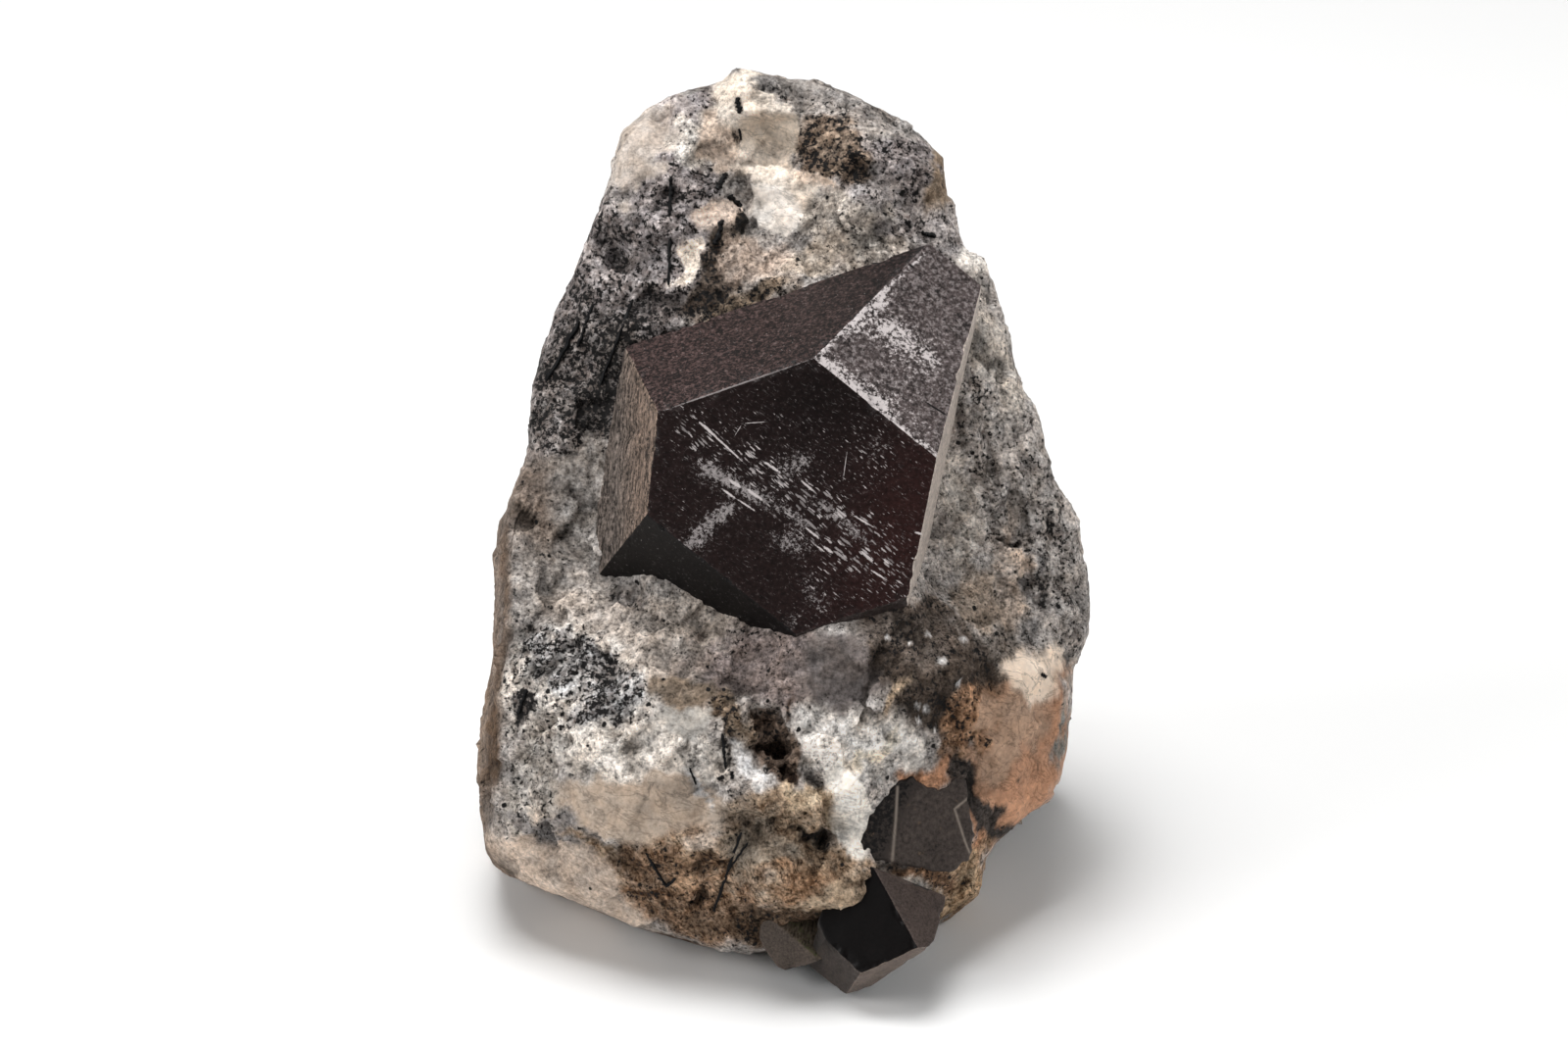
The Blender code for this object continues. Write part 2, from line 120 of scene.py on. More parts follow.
# Mounds and hollows: across, up, half-length, half-width, turn, height.
FEATURE_STEEPNESS = 1.5
FEATURES = {
    "hollow_round_the_square_grain": (-2.0, 32.6, 3.6, 2.6, 0, -1.1),
    "trough_of_white_feldspar": (0.4, 27.2, 5.0, 2.6, -45, -0.5),
    "dark_lump_upper_left": (-11.6, 28.4, 5.0, 3.6, 60, 1.1),
    "dark_lump_upper_right": (8.2, 33.0, 4.2, 2.6, -35, 1.1),
    "ridge_above_the_crystal": (7.0, 26.0, 4.4, 2.2, -20, 0.9),
    "lump_right_of_the_crystal": (22.0, 4.0, 3.6, 2.4, 70, 1.0),
    "granular_lump_below_right": (12.4, -13.4, 4.6, 3.4, 30, 1.5),
    "block_of_pale_feldspar": (21.6, -13.6, 2.6, 3.2, 0, 1.2),
    "bulge_lower_left": (-14.0, -23.0, 6.0, 3.6, -10, 1.0),
    "hollow_of_the_rough_grain": (-1.6, -19.4, 3.4, 2.2, 70, -1.2),
    "ledge_below_the_hollow": (-1.0, -24.4, 4.4, 1.8, -15, 0.9),
    "lump_bottom_middle": (0.5, -31.0, 4.4, 2.4, 10, 0.9),
    "lump_left_flank": (-19.6, 8.6, 2.6, 4.4, 10, 0.9),
    "groove_under_the_crystal": (7.6, -7.9, 7.0, 1.7, 17, -0.9),
    "swell_of_the_tongue": (-1.0, 28.3, 3.8, 1.7, -50, 0.8),
    "pit_of_the_rough_grain": (-1.3, -18.6, 3.2, 1.5, -60, -0.9),
    "pocket_above_the_rough_grain": (-2.4, -16.7, 1.3, 0.9, -30, -1.0),
    "pocket_below_the_rough_grain": (0.4, -21.8, 0.9, 0.7, 0, -0.8),
    "ridge_of_the_white_tail": (6.2, -24.8, 3.8, 1.3, -66, 0.6),
    "slit_in_the_fibrous_grain": (2.4, -27.2, 2.4, 0.45, -16, -1.1),
    "furrow_beside_the_white_tail": (3.3, -23.8, 3.2, 0.6, -62, -0.5),
    "recess_of_the_square_grain": (-1.3, 33.2, 2.3, 1.7, 0, -0.4),
    "step_above_the_square_grain": (-1.2, 35.6, 3.0, 0.6, 0, 0.6),
    "knob_by_the_nook": (-6.0, 28.8, 2.4, 1.2, 30, 0.8),
    "furrow_left_of_the_tongue": (-3.4, 27.4, 3.6, 0.6, -76, -0.9),
    "step_left_of_the_cream_band": (-6.6, 35.6, 2.6, 0.8, 80, -0.7),
    "notch_by_the_cream_corner": (-10.6, 35.0, 3.0, 0.8, 84, -0.9),
    "furrow_in_the_right_flank": (20.6, -2.0, 6.5, 0.7, -82, -0.8),
    "second_furrow_in_the_flank": (18.0, 5.0, 5.0, 0.6, -74, -0.7),
    "ridge_in_the_right_flank": (21.8, 6.0, 5.0, 0.9, -70, 0.7),
    "hollow_in_the_tan": (-2.6, -26.2, 1.8, 1.2, -40, -0.8),
    "lump_in_the_tan": (2.6, -24.6, 2.2, 1.3, -30, 0.7),
    "lip_at_the_foot": (4.6, -32.0, 2.6, 1.1, 8, 0.6),
    "hollow_in_the_stain": (-9.6, -31.4, 2.6, 1.4, -20, -0.8),
    "lump_in_the_stain": (-6.2, -28.2, 1.6, 1.1, 10, 0.6),
    "cleft_above_the_beige": (-9.4, -21.6, 4.0, 0.5, -38, -0.5),
    "cleft_at_the_dark_lump": (7.2, -15.4, 3.2, 0.5, 70, -0.6),
    "pit_at_the_mottled_orange": (16.6, -18.6, 1.6, 0.9, 30, -0.9),
    "pit_under_the_left_corner": (-13.6, -6.2, 1.4, 0.9, 10, -0.7),
}

# The joint face: where its front edge lies, and how it opens backwards.
SIDE_EDGE_ACROSS = -23.3
SIDE_EDGE_SLOPE = 0.081
SIDE_EDGE_OUT = -6.4
SIDE_FLARE = 0.2

# The broken faces of the back: heading, pitch, distance from the stone's heart.
STONE_HEART = FACE_CENTRE + (0.0, 19.1, -11.0)
BACK_FACES = {
    "middle": (2, -9, 14.6),
    "left": (50, -3, 23.0),
    "right": (-47, 3, 23.0),
    "top": (-8, 50, 43.2),
    "low": (12, -46, 21.0),
}

# The level of the flat crystal, and the bed in the rock that it lies in.
FLAT_CRYSTAL_OUT = -0.7
FLAT_CRYSTAL_SLOPE = -0.46
FLAT_CRYSTAL_LEFT = 7.7
FLAT_CRYSTAL_STANDS_OUT = 0.4
FLAT_CRYSTAL_BED = (11.9, -26.6, 5.4)
BED_STEEPNESS = 3


def to_world(points):
    """World positions in mm of (across, up, out): spread with the distance behind the
    show face, turned back by the lean, and moved to the face's centre."""
    across, up, out = np.moveaxis(np.asarray(points, float), -1, 0)
    spread = 1 - out / VIEW_DISTANCE
    back = up * spread * np.sin(LEAN) - out * np.cos(LEAN)
    height = up * spread * np.cos(LEAN) + out * np.sin(LEAN)
    return np.stack([across * spread, back, height], axis=-1) + FACE_CENTRE


def to_face(points):
    """The opposite of to_world."""
    x, y, z = np.moveaxis(points - FACE_CENTRE, -1, 0)
    up = y * np.sin(LEAN) + z * np.cos(LEAN)
    out = z * np.sin(LEAN) - y * np.cos(LEAN)
    spread = 1 - out / VIEW_DISTANCE
    return x / spread, up / spread, out


def heading_and_pitch(heading, pitch):
    """The direction turned left from straight back by a heading and up by a pitch."""
    heading, pitch = np.radians([heading, pitch])
    return np.array([-np.sin(heading) * np.cos(pitch), np.cos(heading) * np.cos(pitch), np.sin(pitch)])


def smooth_max(a, b, rounding):
    """The greater of a and b, with the crease between them rounded off."""
    return 0.5 * (a + b + np.sqrt((a - b) ** 2 + rounding**2))


def random_relief(points, length, height, seed):
    """A sum of plane waves that run in random directions, each about length mm long."""
    chance = np.random.default_rng(seed)
    heading = chance.normal(size=(WAVE_COUNT, 3))
    heading /= np.linalg.norm(heading, axis=1)[:, None]
    pace = 2 * np.pi / (length * chance.uniform(*WAVE_LENGTHS, WAVE_COUNT))
    phase = chance.uniform(0, 2 * np.pi, WAVE_COUNT)
    swell = np.sin((points - FACE_CENTRE) @ (heading * pace[:, None]).T + phase).sum(axis=1)
    return height * swell / (WAVE_PEAK * np.sqrt(WAVE_COUNT / 2))


def line_distance(across, up, start, end):
    """Distance from each place to the straight line between two places."""
    start, side = np.array(start), np.array(end) - start
    along = np.clip(((across - start[0]) * side[0] + (up - start[1]) * side[1]) / (side @ side), 0, 1)
    return np.hypot(across - start[0] - along * side[0], up - start[1] - along * side[1])


def outline_distance(across, up):
    """Distance to the nearest side of the outline, negative inside it. A place is
    inside when a line from it crosses the outline an odd number of times."""
    nearest = np.full(len(across), np.inf)
    inside = np.zeros(len(across), bool)
    for start, end in zip(OUTLINE, np.roll(OUTLINE, -1, axis=0)):
        side = end - start
        nearest = np.minimum(nearest, line_distance(across, up, start, end))
        crosses = (start[1] > up) != (end[1] > up)
        if start[1] != end[1]:
            inside ^= crosses & (across < start[0] + side[0] * (up - start[1]) / side[1])
    return np.where(inside, -nearest, nearest)


POSTS = np.array([(across, up, out) for up, row in FRONT_ROWS for across, out in row])


def cones(across, up):
    """Blunt cones round every post: the root of the squared distance plus softness."""
    left, low, _ = POSTS.T
    return np.sqrt((across[:, None] - left) ** 2 + (up[:, None] - low) ** 2 + SHEET_SOFTNESS**2)


SHEET_MIDDLE = POSTS[:, 2].mean()
CONE_HEIGHTS = np.linalg.solve(cones(POSTS[:, 0], POSTS[:, 1]), POSTS[:, 2] - SHEET_MIDDLE)


def turned_offsets(across, up, left, low, turn):
    """How far each place lies from one place, along a turned direction and beside it."""
    angle = np.radians(turn)
    along = (across - left) * np.cos(angle) + (up - low) * np.sin(angle)
    beside = (up - low) * np.cos(angle) - (across - left) * np.sin(angle)
    return along, beside


def oval(across, up, left, low, length, width, turn):
    """How many of its own radii a place lies from the middle of a turned oval."""
    along, beside = turned_offsets(across, up, left, low, turn)
    return np.hypot(along / length, beside / width)


def mound(across, up, place, steepness=1):
    """From 1 in the middle of an oval to 0 outside it: exp(-(radii squared)^steepness)."""
    return np.exp(-((oval(across, up, *place) ** 2) ** steepness))


def bed_share(across, up):
    """1 over the bed of the flat crystal, and falling steeply to 0 round it."""
    left, low, radius = FLAT_CRYSTAL_BED
    return np.exp(-((((across - left) ** 2 + (up - low) ** 2) / radius**2) ** BED_STEEPNESS))


def flat_crystal_level(across):
    """How far out the top of the flat crystal lies."""
    return FLAT_CRYSTAL_OUT + FLAT_CRYSTAL_SLOPE * (across - FLAT_CRYSTAL_LEFT)


def show_face(points, across, up):
    """How far out the show face lies: the sheet of cones through the posts, a mound
    or hollow on each oval, random swells, and a level bed under the flat crystal."""
    rock = SHEET_MIDDLE + cones(across, up) @ CONE_HEIGHTS + random_relief(points, *SHOW_FACE_RELIEF)
    for *place, height in FEATURES.values():
        rock += height * mound(across, up, place, FEATURE_STEEPNESS)
    bed = flat_crystal_level(across) - FLAT_CRYSTAL_STANDS_OUT
    return rock + bed_share(across, up) * (bed - rock)


def beyond_the_joint(across, up, out):
    """How far a place lies to the left of the joint face's plane."""
    return SIDE_EDGE_ACROSS + SIDE_EDGE_SLOPE * up + SIDE_FLARE * (out - SIDE_EDGE_OUT) - across


def front_field(points, hollowed=True):
    """Negative behind the show face and within the outline and the left side face.
    Behind the rim the flanks may be hollowed."""
    across, up, out = to_face(points)
    flank = outline_distance(across, up) - OUTLINE_GROWTH
    if hollowed:
        behind_rim = np.clip((RIM_OUT - out) / RIM_DEPTH, 0, 1)
        flank += behind_rim * np.maximum(FLANK_HOLLOW + random_relief(points, *FLANK_RELIEF), 0)
    field = smooth_max(out - show_face(points, across, up), flank, RIM_ROUNDING)
    joint = beyond_the_joint(across, up, out) + random_relief(points, *SIDE_RELIEF)
    return smooth_max(field, joint, SIDE_ROUNDING)


def stone_field(points):
    """The front field rounded into each broken face of the back, and cut by the foot."""
    field = front_field(points)
    rough = random_relief(points, *BACK_RELIEF) + random_relief(points, *BACK_FINE_RELIEF)
    for heading, pitch, distance in BACK_FACES.values():
        face = (points - STONE_HEART) @ heading_and_pitch(heading, pitch) - distance
        field = smooth_max(field, face + rough, BACK_ROUNDING)
    return np.maximum(field, -points[:, 2])


def find_surface(place, count, limits, field, halvings=20):
    """Where the field changes sign between two limits on each of count lines, by
    halving. place gives the points for an array of reaches."""
    near, far = [np.full(count, limit) for limit in limits]
    for _ in range(halvings):
        reach = (near + far) / 2
        inside = field(place(reach)) < 0
        near = np.where(inside, reach, near)
        far = np.where(inside, far, reach)
    return near


# The skin is a grid: columns run out from a loop hidden under the large crystal, over
# the rim, and round the back to a point. Each column starts at an even step of the rim.
COLUMNS = 560
FRONT_STEPS = 102
BACK_STEPS = 70
SETTLED_RINGS = 8
HIDDEN_LOOP = (0.5, 6.0, 9.0)
OUT_LIMITS = (-32.0, 8.0)
REACH_LIMITS = (2.0, 70.0)
BACK_POINT = heading_and_pitch(*BACK_FACES["middle"][:2])


def even_loop(corners, count):
    """Points at even steps of length along the closed line through the corners."""
    ends = np.vstack([corners, corners[:1]])
    lengths = np.append(0, np.cumsum(np.linalg.norm(np.diff(ends, axis=0), axis=1)))
    places = np.arange(count) / count * lengths[-1]
    return np.stack([np.interp(places, lengths, ends[:, axis]) for axis in (0, 1)], axis=1)


def smooth_front(points):
    return front_field(points, hollowed=False)


def front_rings():
    """Rings of the show face, from the hidden loop (step 0) straight out to the rim
    (step 1), each point raised along out to where the front field is zero."""
    rim = even_loop(OUTLINE, COLUMNS)
    left, low, radius = HIDDEN_LOOP
    away = rim - (left, low)
    loop = (left, low) + radius * away / np.linalg.norm(away, axis=1)[:, None]
    step = np.linspace(0, 1, FRONT_STEPS)[:, None, None]
    flat = (loop + step * (rim - loop)).reshape(-1, 2)

    def raised(out):
        return to_world(np.column_stack([flat, out]))

    out = find_surface(raised, len(flat), OUT_LIMITS, smooth_front)
    return raised(out).reshape(FRONT_STEPS, COLUMNS, 3)


def back_rings(rim):
    """Rings of the flanks and back: the direction from the stone's heart turns evenly
    from the rim (step 0) to the middle of the back (step 1), out to the surface."""
    start = rim - STONE_HEART
    start /= np.linalg.norm(start, axis=1)[:, None]
    between = np.arccos(np.clip(start @ BACK_POINT, -1, 1))[None, :, None]
    step = (np.arange(1, BACK_STEPS) / BACK_STEPS)[:, None, None]
    way = (np.sin((1 - step) * between) * start + np.sin(step * between) * BACK_POINT) / np.sin(between)
    way = way.reshape(-1, 3)

    def along(reach):
        return STONE_HEART + way * reach[:, None]

    reach = find_surface(along, len(way), REACH_LIMITS, stone_field)
    return along(reach).reshape(BACK_STEPS - 1, COLUMNS, 3)


def settle(points, rounds=3, nudge=0.02, limit=0.3):
    """Moves points onto the stone's surface, down the slope of its field."""
    for _ in range(rounds):
        value = stone_field(points)
        slope = np.stack([stone_field(points + step) - value for step in nudge * np.eye(3)], axis=1) / nudge
        move = -value[:, None] * slope / np.maximum((slope**2).sum(axis=1), 0.5)[:, None]
        points = points + np.clip(move, -limit, limit)
    return points


def grid_normals(rings):
    """Outward normals of a closed band of rings: the cross product of the directions
    along a column and along a ring."""
    along = np.gradient(rings, axis=0)
    round_it = np.roll(rings, -1, axis=1) - np.roll(rings, 1, axis=1)
    normals = np.cross(along, round_it)
    normals /= np.maximum(np.linalg.norm(normals, axis=2), 1e-9)[..., None]
    return normals if (normals * (rings - STONE_HEART)).sum() > 0 else -normals


rings = front_rings()
last_rings = rings[-SETTLED_RINGS:]
rings[-SETTLED_RINGS:] = settle(last_rings.reshape(-1, 3)).reshape(last_rings.shape)
rings = np.concatenate([rings, back_rings(rings[-1])])
normals = grid_normals(rings)

# The rock, its fine relief and its kinds of stone.
# The show face is a patchwork: white and cream feldspar, glassy grey and beige grains,
# black aegirine peppered through it, brown iron stain in the hollows and an orange
# patch at the right. A freshly split grain breaks in small flat steps.


LATTICE_OFFSET = 4096
LATTICE_PRIMES = (73856093, 19349663, 83492791)
SEED_FACTOR = 2654435761
MIXING_STEPS = ((15, 2246822519), (13, 3266489917))


def lattice(cells, seed):
    """A repeatable random number from 0 to 1 for each lattice cell: its three numbers
    times large primes, with their bits shifted and mixed."""
    x, y, z = np.moveaxis(cells.astype(np.int64) + LATTICE_OFFSET, -1, 0)
    for_x, for_y, for_z = LATTICE_PRIMES
    mixed = (x * for_x) ^ (y * for_y) ^ (z * for_z) ^ (seed * SEED_FACTOR)
    for shift, factor in MIXING_STEPS:
        mixed = ((mixed ^ (mixed >> shift)) * factor) & 0xFFFFFFFF
    return ((mixed ^ (mixed >> 16)) & 0xFFFFFF) / 0xFFFFFF


def mottle(points, size, seed):
    """Smooth random numbers from -1 to 1: random values at the corners of cells size
    mm wide, blended across each cell by a smooth step."""
    corner = np.floor(points / size)
    part = points / size - corner
    part = part * part * (3 - 2 * part)
    total = np.zeros(len(points))
    for step in np.ndindex(2, 2, 2):
        share = np.prod(np.where(step, part, 1 - part), axis=1)
        total += share * lattice(corner + step, seed)
    return 2 * total - 1


def split_grains(points, size, seed):
    """Height of a surface split along grains about size mm wide: in each grain the
    distance from its centre along a slope of its own, so its neighbours step up or
    down."""
    cell = np.floor(points / size)
    nearest = np.full(len(points), np.inf)
    height = np.zeros(len(points))
    for step in np.ndindex(3, 3, 3):
        grain = cell + np.array(step) - 1
        centre = grain + np.stack([lattice(grain, seed + axis) for axis in range(3)], axis=1)
        offset = points / size - centre
        slope = 2 * np.stack([lattice(grain, seed + 3 + axis) for axis in range(3)], axis=1) - 1
        gap = (offset**2).sum(axis=1)
        closer = gap < nearest
        nearest = np.where(closer, gap, nearest)
        height = np.where(closer, (offset * slope).sum(axis=1) + 0.5 * lattice(grain, seed + 6), height)
    return height


WHITE = (0.70, 0.65, 0.60)
CREAM = (0.66, 0.54, 0.45)
PALE_GREY = (0.44, 0.41, 0.39)
MID_GREY = (0.33, 0.31, 0.30)
BRIGHT_CREAM = (0.90, 0.80, 0.70)
BEIGE = (0.51, 0.415, 0.335)
PINK_BEIGE = (0.53, 0.44, 0.37)
TAN = (0.31, 0.245, 0.185)
SQUARE_TAN = (0.78, 0.68, 0.575)
ORANGE = (0.50, 0.275, 0.17)
DARK_BROWN = (0.115, 0.08, 0.062)
CRACK_AND_SHADE_BLACK = (0.05, 0.045, 0.04)
GREEN_GREY = (0.30, 0.30, 0.28)
BLUE_WHITE = (0.74, 0.735, 0.74)
LILAC_GREY = (0.46, 0.42, 0.42)
RUSTY = (0.40, 0.275, 0.185)

# Each patch: its oval (across, up, half-length, half-width, turn), how soft its edge
# is in mm, its colour, and from 0 to 1 how black with grains, how brown with stain,
# and how glassy it is. Later ones lie over earlier ones.
PATCHES = {
    "dark upper left": ((-15.5, 17.5, 14.0, 6.0, 66), 2.5, (0.48, 0.44, 0.435), 0.74, 0.0, 0.0),
    "dark inner left": ((-9.5, 27.6, 5.6, 4.2, 60), 1.2, LILAC_GREY, 0.66, 0.0, 0.0),
    "dark above the left corner": ((-15.6, 12.0, 6.5, 3.4, 66), 1.8, MID_GREY, 0.98, 0.0, 0.0),
    "dark by the left edge": ((-18.8, 13.0, 7.0, 2.4, 66), 1.2, (0.42, 0.39, 0.38), 0.86, 0.1, 0.0),
    "speckled upper right": ((8.6, 28.0, 8.0, 5.6, -40), 2.0, (0.52, 0.48, 0.47), 0.54, 0.05, 0.0),
    "dusky cap": ((4.0, 37.0, 10.5, 3.0, -18), 1.0, PALE_GREY, 0.56, 0.05, 0.2),
    "brown shoulder": ((13.2, 29.8, 3.0, 1.4, -78), 1.0, TAN, 0.3, 0.4, 0.2),
    "dark by the shoulder": ((10.0, 30.6, 2.6, 1.6, -60), 1.0, LILAC_GREY, 0.72, 0.05, 0.0),
    "white granular top": ((-7.4, 34.2, 3.0, 3.0, 0), 1.0, WHITE, 0.36, 0.0, 0.0),
    "dusky lump": ((-8.2, 36.4, 3.2, 1.6, 15), 0.8, LILAC_GREY, 0.56, 0.0, 0.2),
    "cream corner": ((-12.7, 32.4, 4.0, 2.3, 66), 0.8, (0.60, 0.53, 0.475), 0.05, 0.05, 0.8),
    "cream band": ((-3.2, 36.2, 3.8, 1.8, -28), 0.7, BRIGHT_CREAM, 0.04, 0.05, 0.6),
    "dusky peak": ((-2.6, 39.0, 3.8, 1.1, -9), 0.6, (0.30, 0.28, 0.265), 0.34, 0.05, 0.2),
    "cream round the square": ((-4.0, 32.6, 4.0, 2.2, -25), 0.7, CREAM, 0.06, 0.12, 0.4),
    "dark clump": ((4.4, 31.8, 3.9, 2.4, -30), 0.8, (0.48, 0.38, 0.30), 0.8, 0.2, 0.0),
    "grey square": ((-1.3, 33.6, 2.3, 1.6, -2), 0.25, SQUARE_TAN, 0.0, 0.0, 1.0),
    "crack by the square": ((-3.8, 33.4, 1.3, 0.16, -80), 0.3, CRACK_AND_SHADE_BLACK, 0.9, 0.2, 0.0),
    "granular under the cap": ((5.8, 25.0, 5.0, 2.4, -20), 1.4, (0.52, 0.475, 0.43), 0.46, 0.12, 0.0),
    "white tongue upper": ((-0.6, 29.6, 4.2, 1.9, -42), 0.6, BRIGHT_CREAM, 0.0, 0.06, 0.7),
    "cream over the tongue": ((2.6, 29.2, 2.2, 0.7, -36), 0.6, CREAM, 0.12, 0.1, 0.3),
    "white tongue": ((-0.5, 26.9, 2.6, 2.0, -30), 0.35, (1.0, 0.93, 0.86), 0.0, 0.0, 1.0),
    # Painted shadow: a near-black patch in the nook beside the needle, where shade falls.
    "nook shade": ((-4.0, 25.2, 1.0, 0.8, 50), 0.4, CRACK_AND_SHADE_BLACK, 0.9, 0.2, 0.0),
    "cream nook": ((-5.8, 26.6, 2.1, 1.4, 0), 0.4, (0.74, 0.62, 0.54), 0.08, 0.05, 0.3),
    "brown under the strip": ((-6.2, 21.6, 2.0, 4.0, -20), 1.0, (0.2, 0.165, 0.14), 0.8, 0.4, 0.0),
    "cream strip": ((-8.7, 22.8, 2.3, 0.75, 62), 0.4, BRIGHT_CREAM, 0.05, 0.05, 0.2),
    "pink granular": ((-2.6, 22.4, 2.8, 1.6, -10), 1.6, (0.52, 0.43, 0.37), 0.2, 0.25, 0.0),
    "tan by the crystal": ((2.8, 22.6, 3.4, 1.5, 12), 0.9, (0.50, 0.44, 0.38), 0.3, 0.2, 0.0),
    "dark along the crystal": ((-3.6, 18.8, 4.0, 1.1, 19), 1.0, TAN, 0.7, 0.3, 0.0),
    "white spot": ((15.9, 22.6, 1.3, 0.8, -40), 0.4, WHITE, 0.1, 0.0, 0.0),
    "right flank": ((20.2, 3.5, 17.0, 4.6, -72), 2.0, PALE_GREY, 0.46, 0.12, 0.0),
    "pale up the flank": ((17.6, 15.0, 6.0, 2.0, -70), 1.4, (0.56, 0.52, 0.48), 0.3, 0.1, 0.0),
    "right flank dark edge": ((23.4, -1.5, 9.0, 1.6, -76), 1.0, PALE_GREY, 0.6, 0.05, 0.0),
    "cream streak": ((19.4, -4.5, 5.6, 1.3, -84), 1.0, CREAM, 0.22, 0.15, 0.0),
    "dark streak": ((21.8, -5.5, 5.0, 0.8, -86), 0.8, MID_GREY, 0.62, 0.0, 0.0),
    "dark by the crystal": ((17.2, 4.0, 8.0, 1.2, -78), 1.2, PALE_GREY, 0.6, 0.1, 0.0),
    "pale by the right face": ((15.0, 1.0, 5.0, 1.3, -82), 1.0, (0.58, 0.54, 0.50), 0.25, 0.1, 0.0),
    "pale left": ((-18.6, -1.0, 8.0, 4.6, 86), 2.0, (0.385, 0.36, 0.34), 0.34, 0.1, 0.1),
    "pale under the crystal": ((-9.5, -10.5, 12.5, 4.4, -14), 2.0, (0.47, 0.42, 0.38), 0.28, 0.1, 0.0),
    "purple under the tip": ((-0.6, -12.4, 7.6, 3.2, 0), 1.6, (0.28, 0.235, 0.225), 0.4, 0.2, 0.0),
    "white with black grains": ((-17.8, -14.6, 6.8, 5.0, -10), 1.2, WHITE, 0.55, 0.0, 0.0),
    "black thick": ((-16.8, -13.2, 5.4, 2.4, -20), 1.0, BLUE_WHITE, 0.8, 0.0, 0.0),
    "black by the tan": ((-15.8, -17.6, 3.8, 2.0, -24), 0.9, (0.56, 0.555, 0.56), 0.8, 0.0, 0.0),
    "black clot": ((-22.6, -15.6, 1.3, 0.7, 75), 0.4, MID_GREY, 0.95, 0.0, 0.0),
    "tan patch": ((-8.8, -14.2, 3.0, 1.8, 0), 0.9, (0.25, 0.2, 0.155), 0.16, 0.2, 0.3),
    "white granular": ((-12.2, -20.4, 7.0, 3.4, -16), 1.2, WHITE, 0.1, 0.05, 0.1),
    "pale glassy": ((-8.4, -17.3, 2.6, 1.5, -10), 0.6, (0.52, 0.50, 0.47), 0.05, 0.05, 0.8),
    "speckled left edge": ((-21.8, -22.6, 5.8, 2.5, 88), 0.8, (0.42, 0.39, 0.36), 0.5, 0.05, 0.0),
    "glassy beige": ((-12.4, -24.9, 8.2, 2.9, -9), 0.8, BEIGE, 0.0, 0.05, 1.0),
    "white edge of the beige": ((-7.6, -23.8, 2.2, 0.35, -55), 0.3, BLUE_WHITE, 0.0, 0.0, 0.6),
    "pink foot": ((-17.6, -31.0, 8.2, 3.6, -15), 1.0, PINK_BEIGE, 0.08, 0.08, 0.6),
    "grey veins": ((-20.2, -26.0, 3.8, 1.3, -20), 0.8, (0.24, 0.225, 0.22), 0.5, 0.1, 0.2),
    "brown vein upper": ((-16.4, -28.0, 3.2, 0.35, -28), 0.4, TAN, 0.1, 0.8, 0.2),
    "brown vein lower": ((-14.3, -30.6, 2.4, 0.4, -66), 0.4, TAN, 0.1, 0.8, 0.2),
    "brown stained": ((-7.6, -31.6, 6.6, 4.4, -18), 1.2, (0.30, 0.215, 0.155), 0.54, 0.75, 0.0),
    "brown edge of the beige": ((-7.4, -28.6, 3.2, 0.7, -22), 0.8, TAN, 0.25, 0.9, 0.0),
    "pale in the brown": ((-6.8, -28.2, 1.9, 0.8, -12), 0.4, PINK_BEIGE, 0.05, 0.2, 0.2),
    "orange in the brown": ((-9.0, -30.0, 1.6, 0.8, 20), 0.5, RUSTY, 0.3, 0.5, 0.0),
    "pale at the foot": ((-3.2, -33.6, 1.3, 1.0, 60), 0.5, (0.36, 0.28, 0.225), 0.2, 0.4, 0.1),
    "shade by the pit": ((-4.6, -17.2, 2.6, 1.4, -60), 0.8, TAN, 0.66, 0.5, 0.0),
    "fibrous tan": ((2.0, -28.2, 6.8, 4.8, -22), 1.1, (0.36, 0.285, 0.215), 0.24, 0.7, 0.0),
    "dusky tan": ((-2.6, -26.6, 2.2, 1.4, -50), 0.8, (0.33, 0.28, 0.23), 0.4, 0.5, 0.0),
    "dusky middle": ((-1.2, -29.4, 3.0, 1.7, -20), 1.0, (0.27, 0.235, 0.195), 0.3, 0.4, 0.2),
    "pale tan": ((2.6, -24.2, 3.4, 1.0, -40), 0.6, (0.60, 0.49, 0.36), 0.12, 0.45, 0.0),
    "pink in the tan": ((4.1, -27.2, 0.9, 0.6, -20), 0.3, PINK_BEIGE, 0.0, 0.3, 0.3),
    "rusty tan": ((1.6, -30.8, 2.6, 1.1, 0), 0.9, (0.34, 0.235, 0.16), 0.3, 0.7, 0.0),
    "white by the pit": ((-3.2, -21.8, 2.5, 1.0, -56), 0.4, BLUE_WHITE, 0.05, 0.1, 0.3),
    "rough dark grain": ((-0.9, -19.5, 3.1, 1.6, -62), 0.35, (0.23, 0.178, 0.145), 0.55, 0.4, 0.0),
    "crack above the rough grain": ((0.2, -15.6, 1.7, 0.35, 62), 0.5, DARK_BROWN, 0.8, 0.4, 0.0),
    "foot of the rough grain": ((0.5, -22.0, 0.8, 0.6, 30), 0.3, DARK_BROWN, 0.6, 0.5, 0.0),
    "dark under the left corner": ((-13.4, -6.0, 1.8, 1.0, -10), 0.7, MID_GREY, 0.6, 0.3, 0.0),
    "slot": ((-5.3, -19.8, 2.1, 0.22, -87), 0.4, CRACK_AND_SHADE_BLACK, 0.9, 0.2, 0.0),
    "dark slit": ((2.4, -27.2, 2.2, 0.3, -16), 0.3, CRACK_AND_SHADE_BLACK, 0.9, 0.3, 0.0),
    "glassy dark grey": ((5.4, -12.6, 4.0, 2.9, -24), 1.6, (0.17, 0.15, 0.145), 0.14, 0.1, 0.6),
    "dark granular": ((13.6, -13.6, 7.0, 5.2, -38), 1.5, (0.088, 0.07, 0.058), 0.55, 0.2, 0.0),
    "dark under the corner": ((11.4, -9.6, 5.2, 2.6, -14), 1.0, (0.18, 0.15, 0.13), 0.6, 0.15, 0.0),
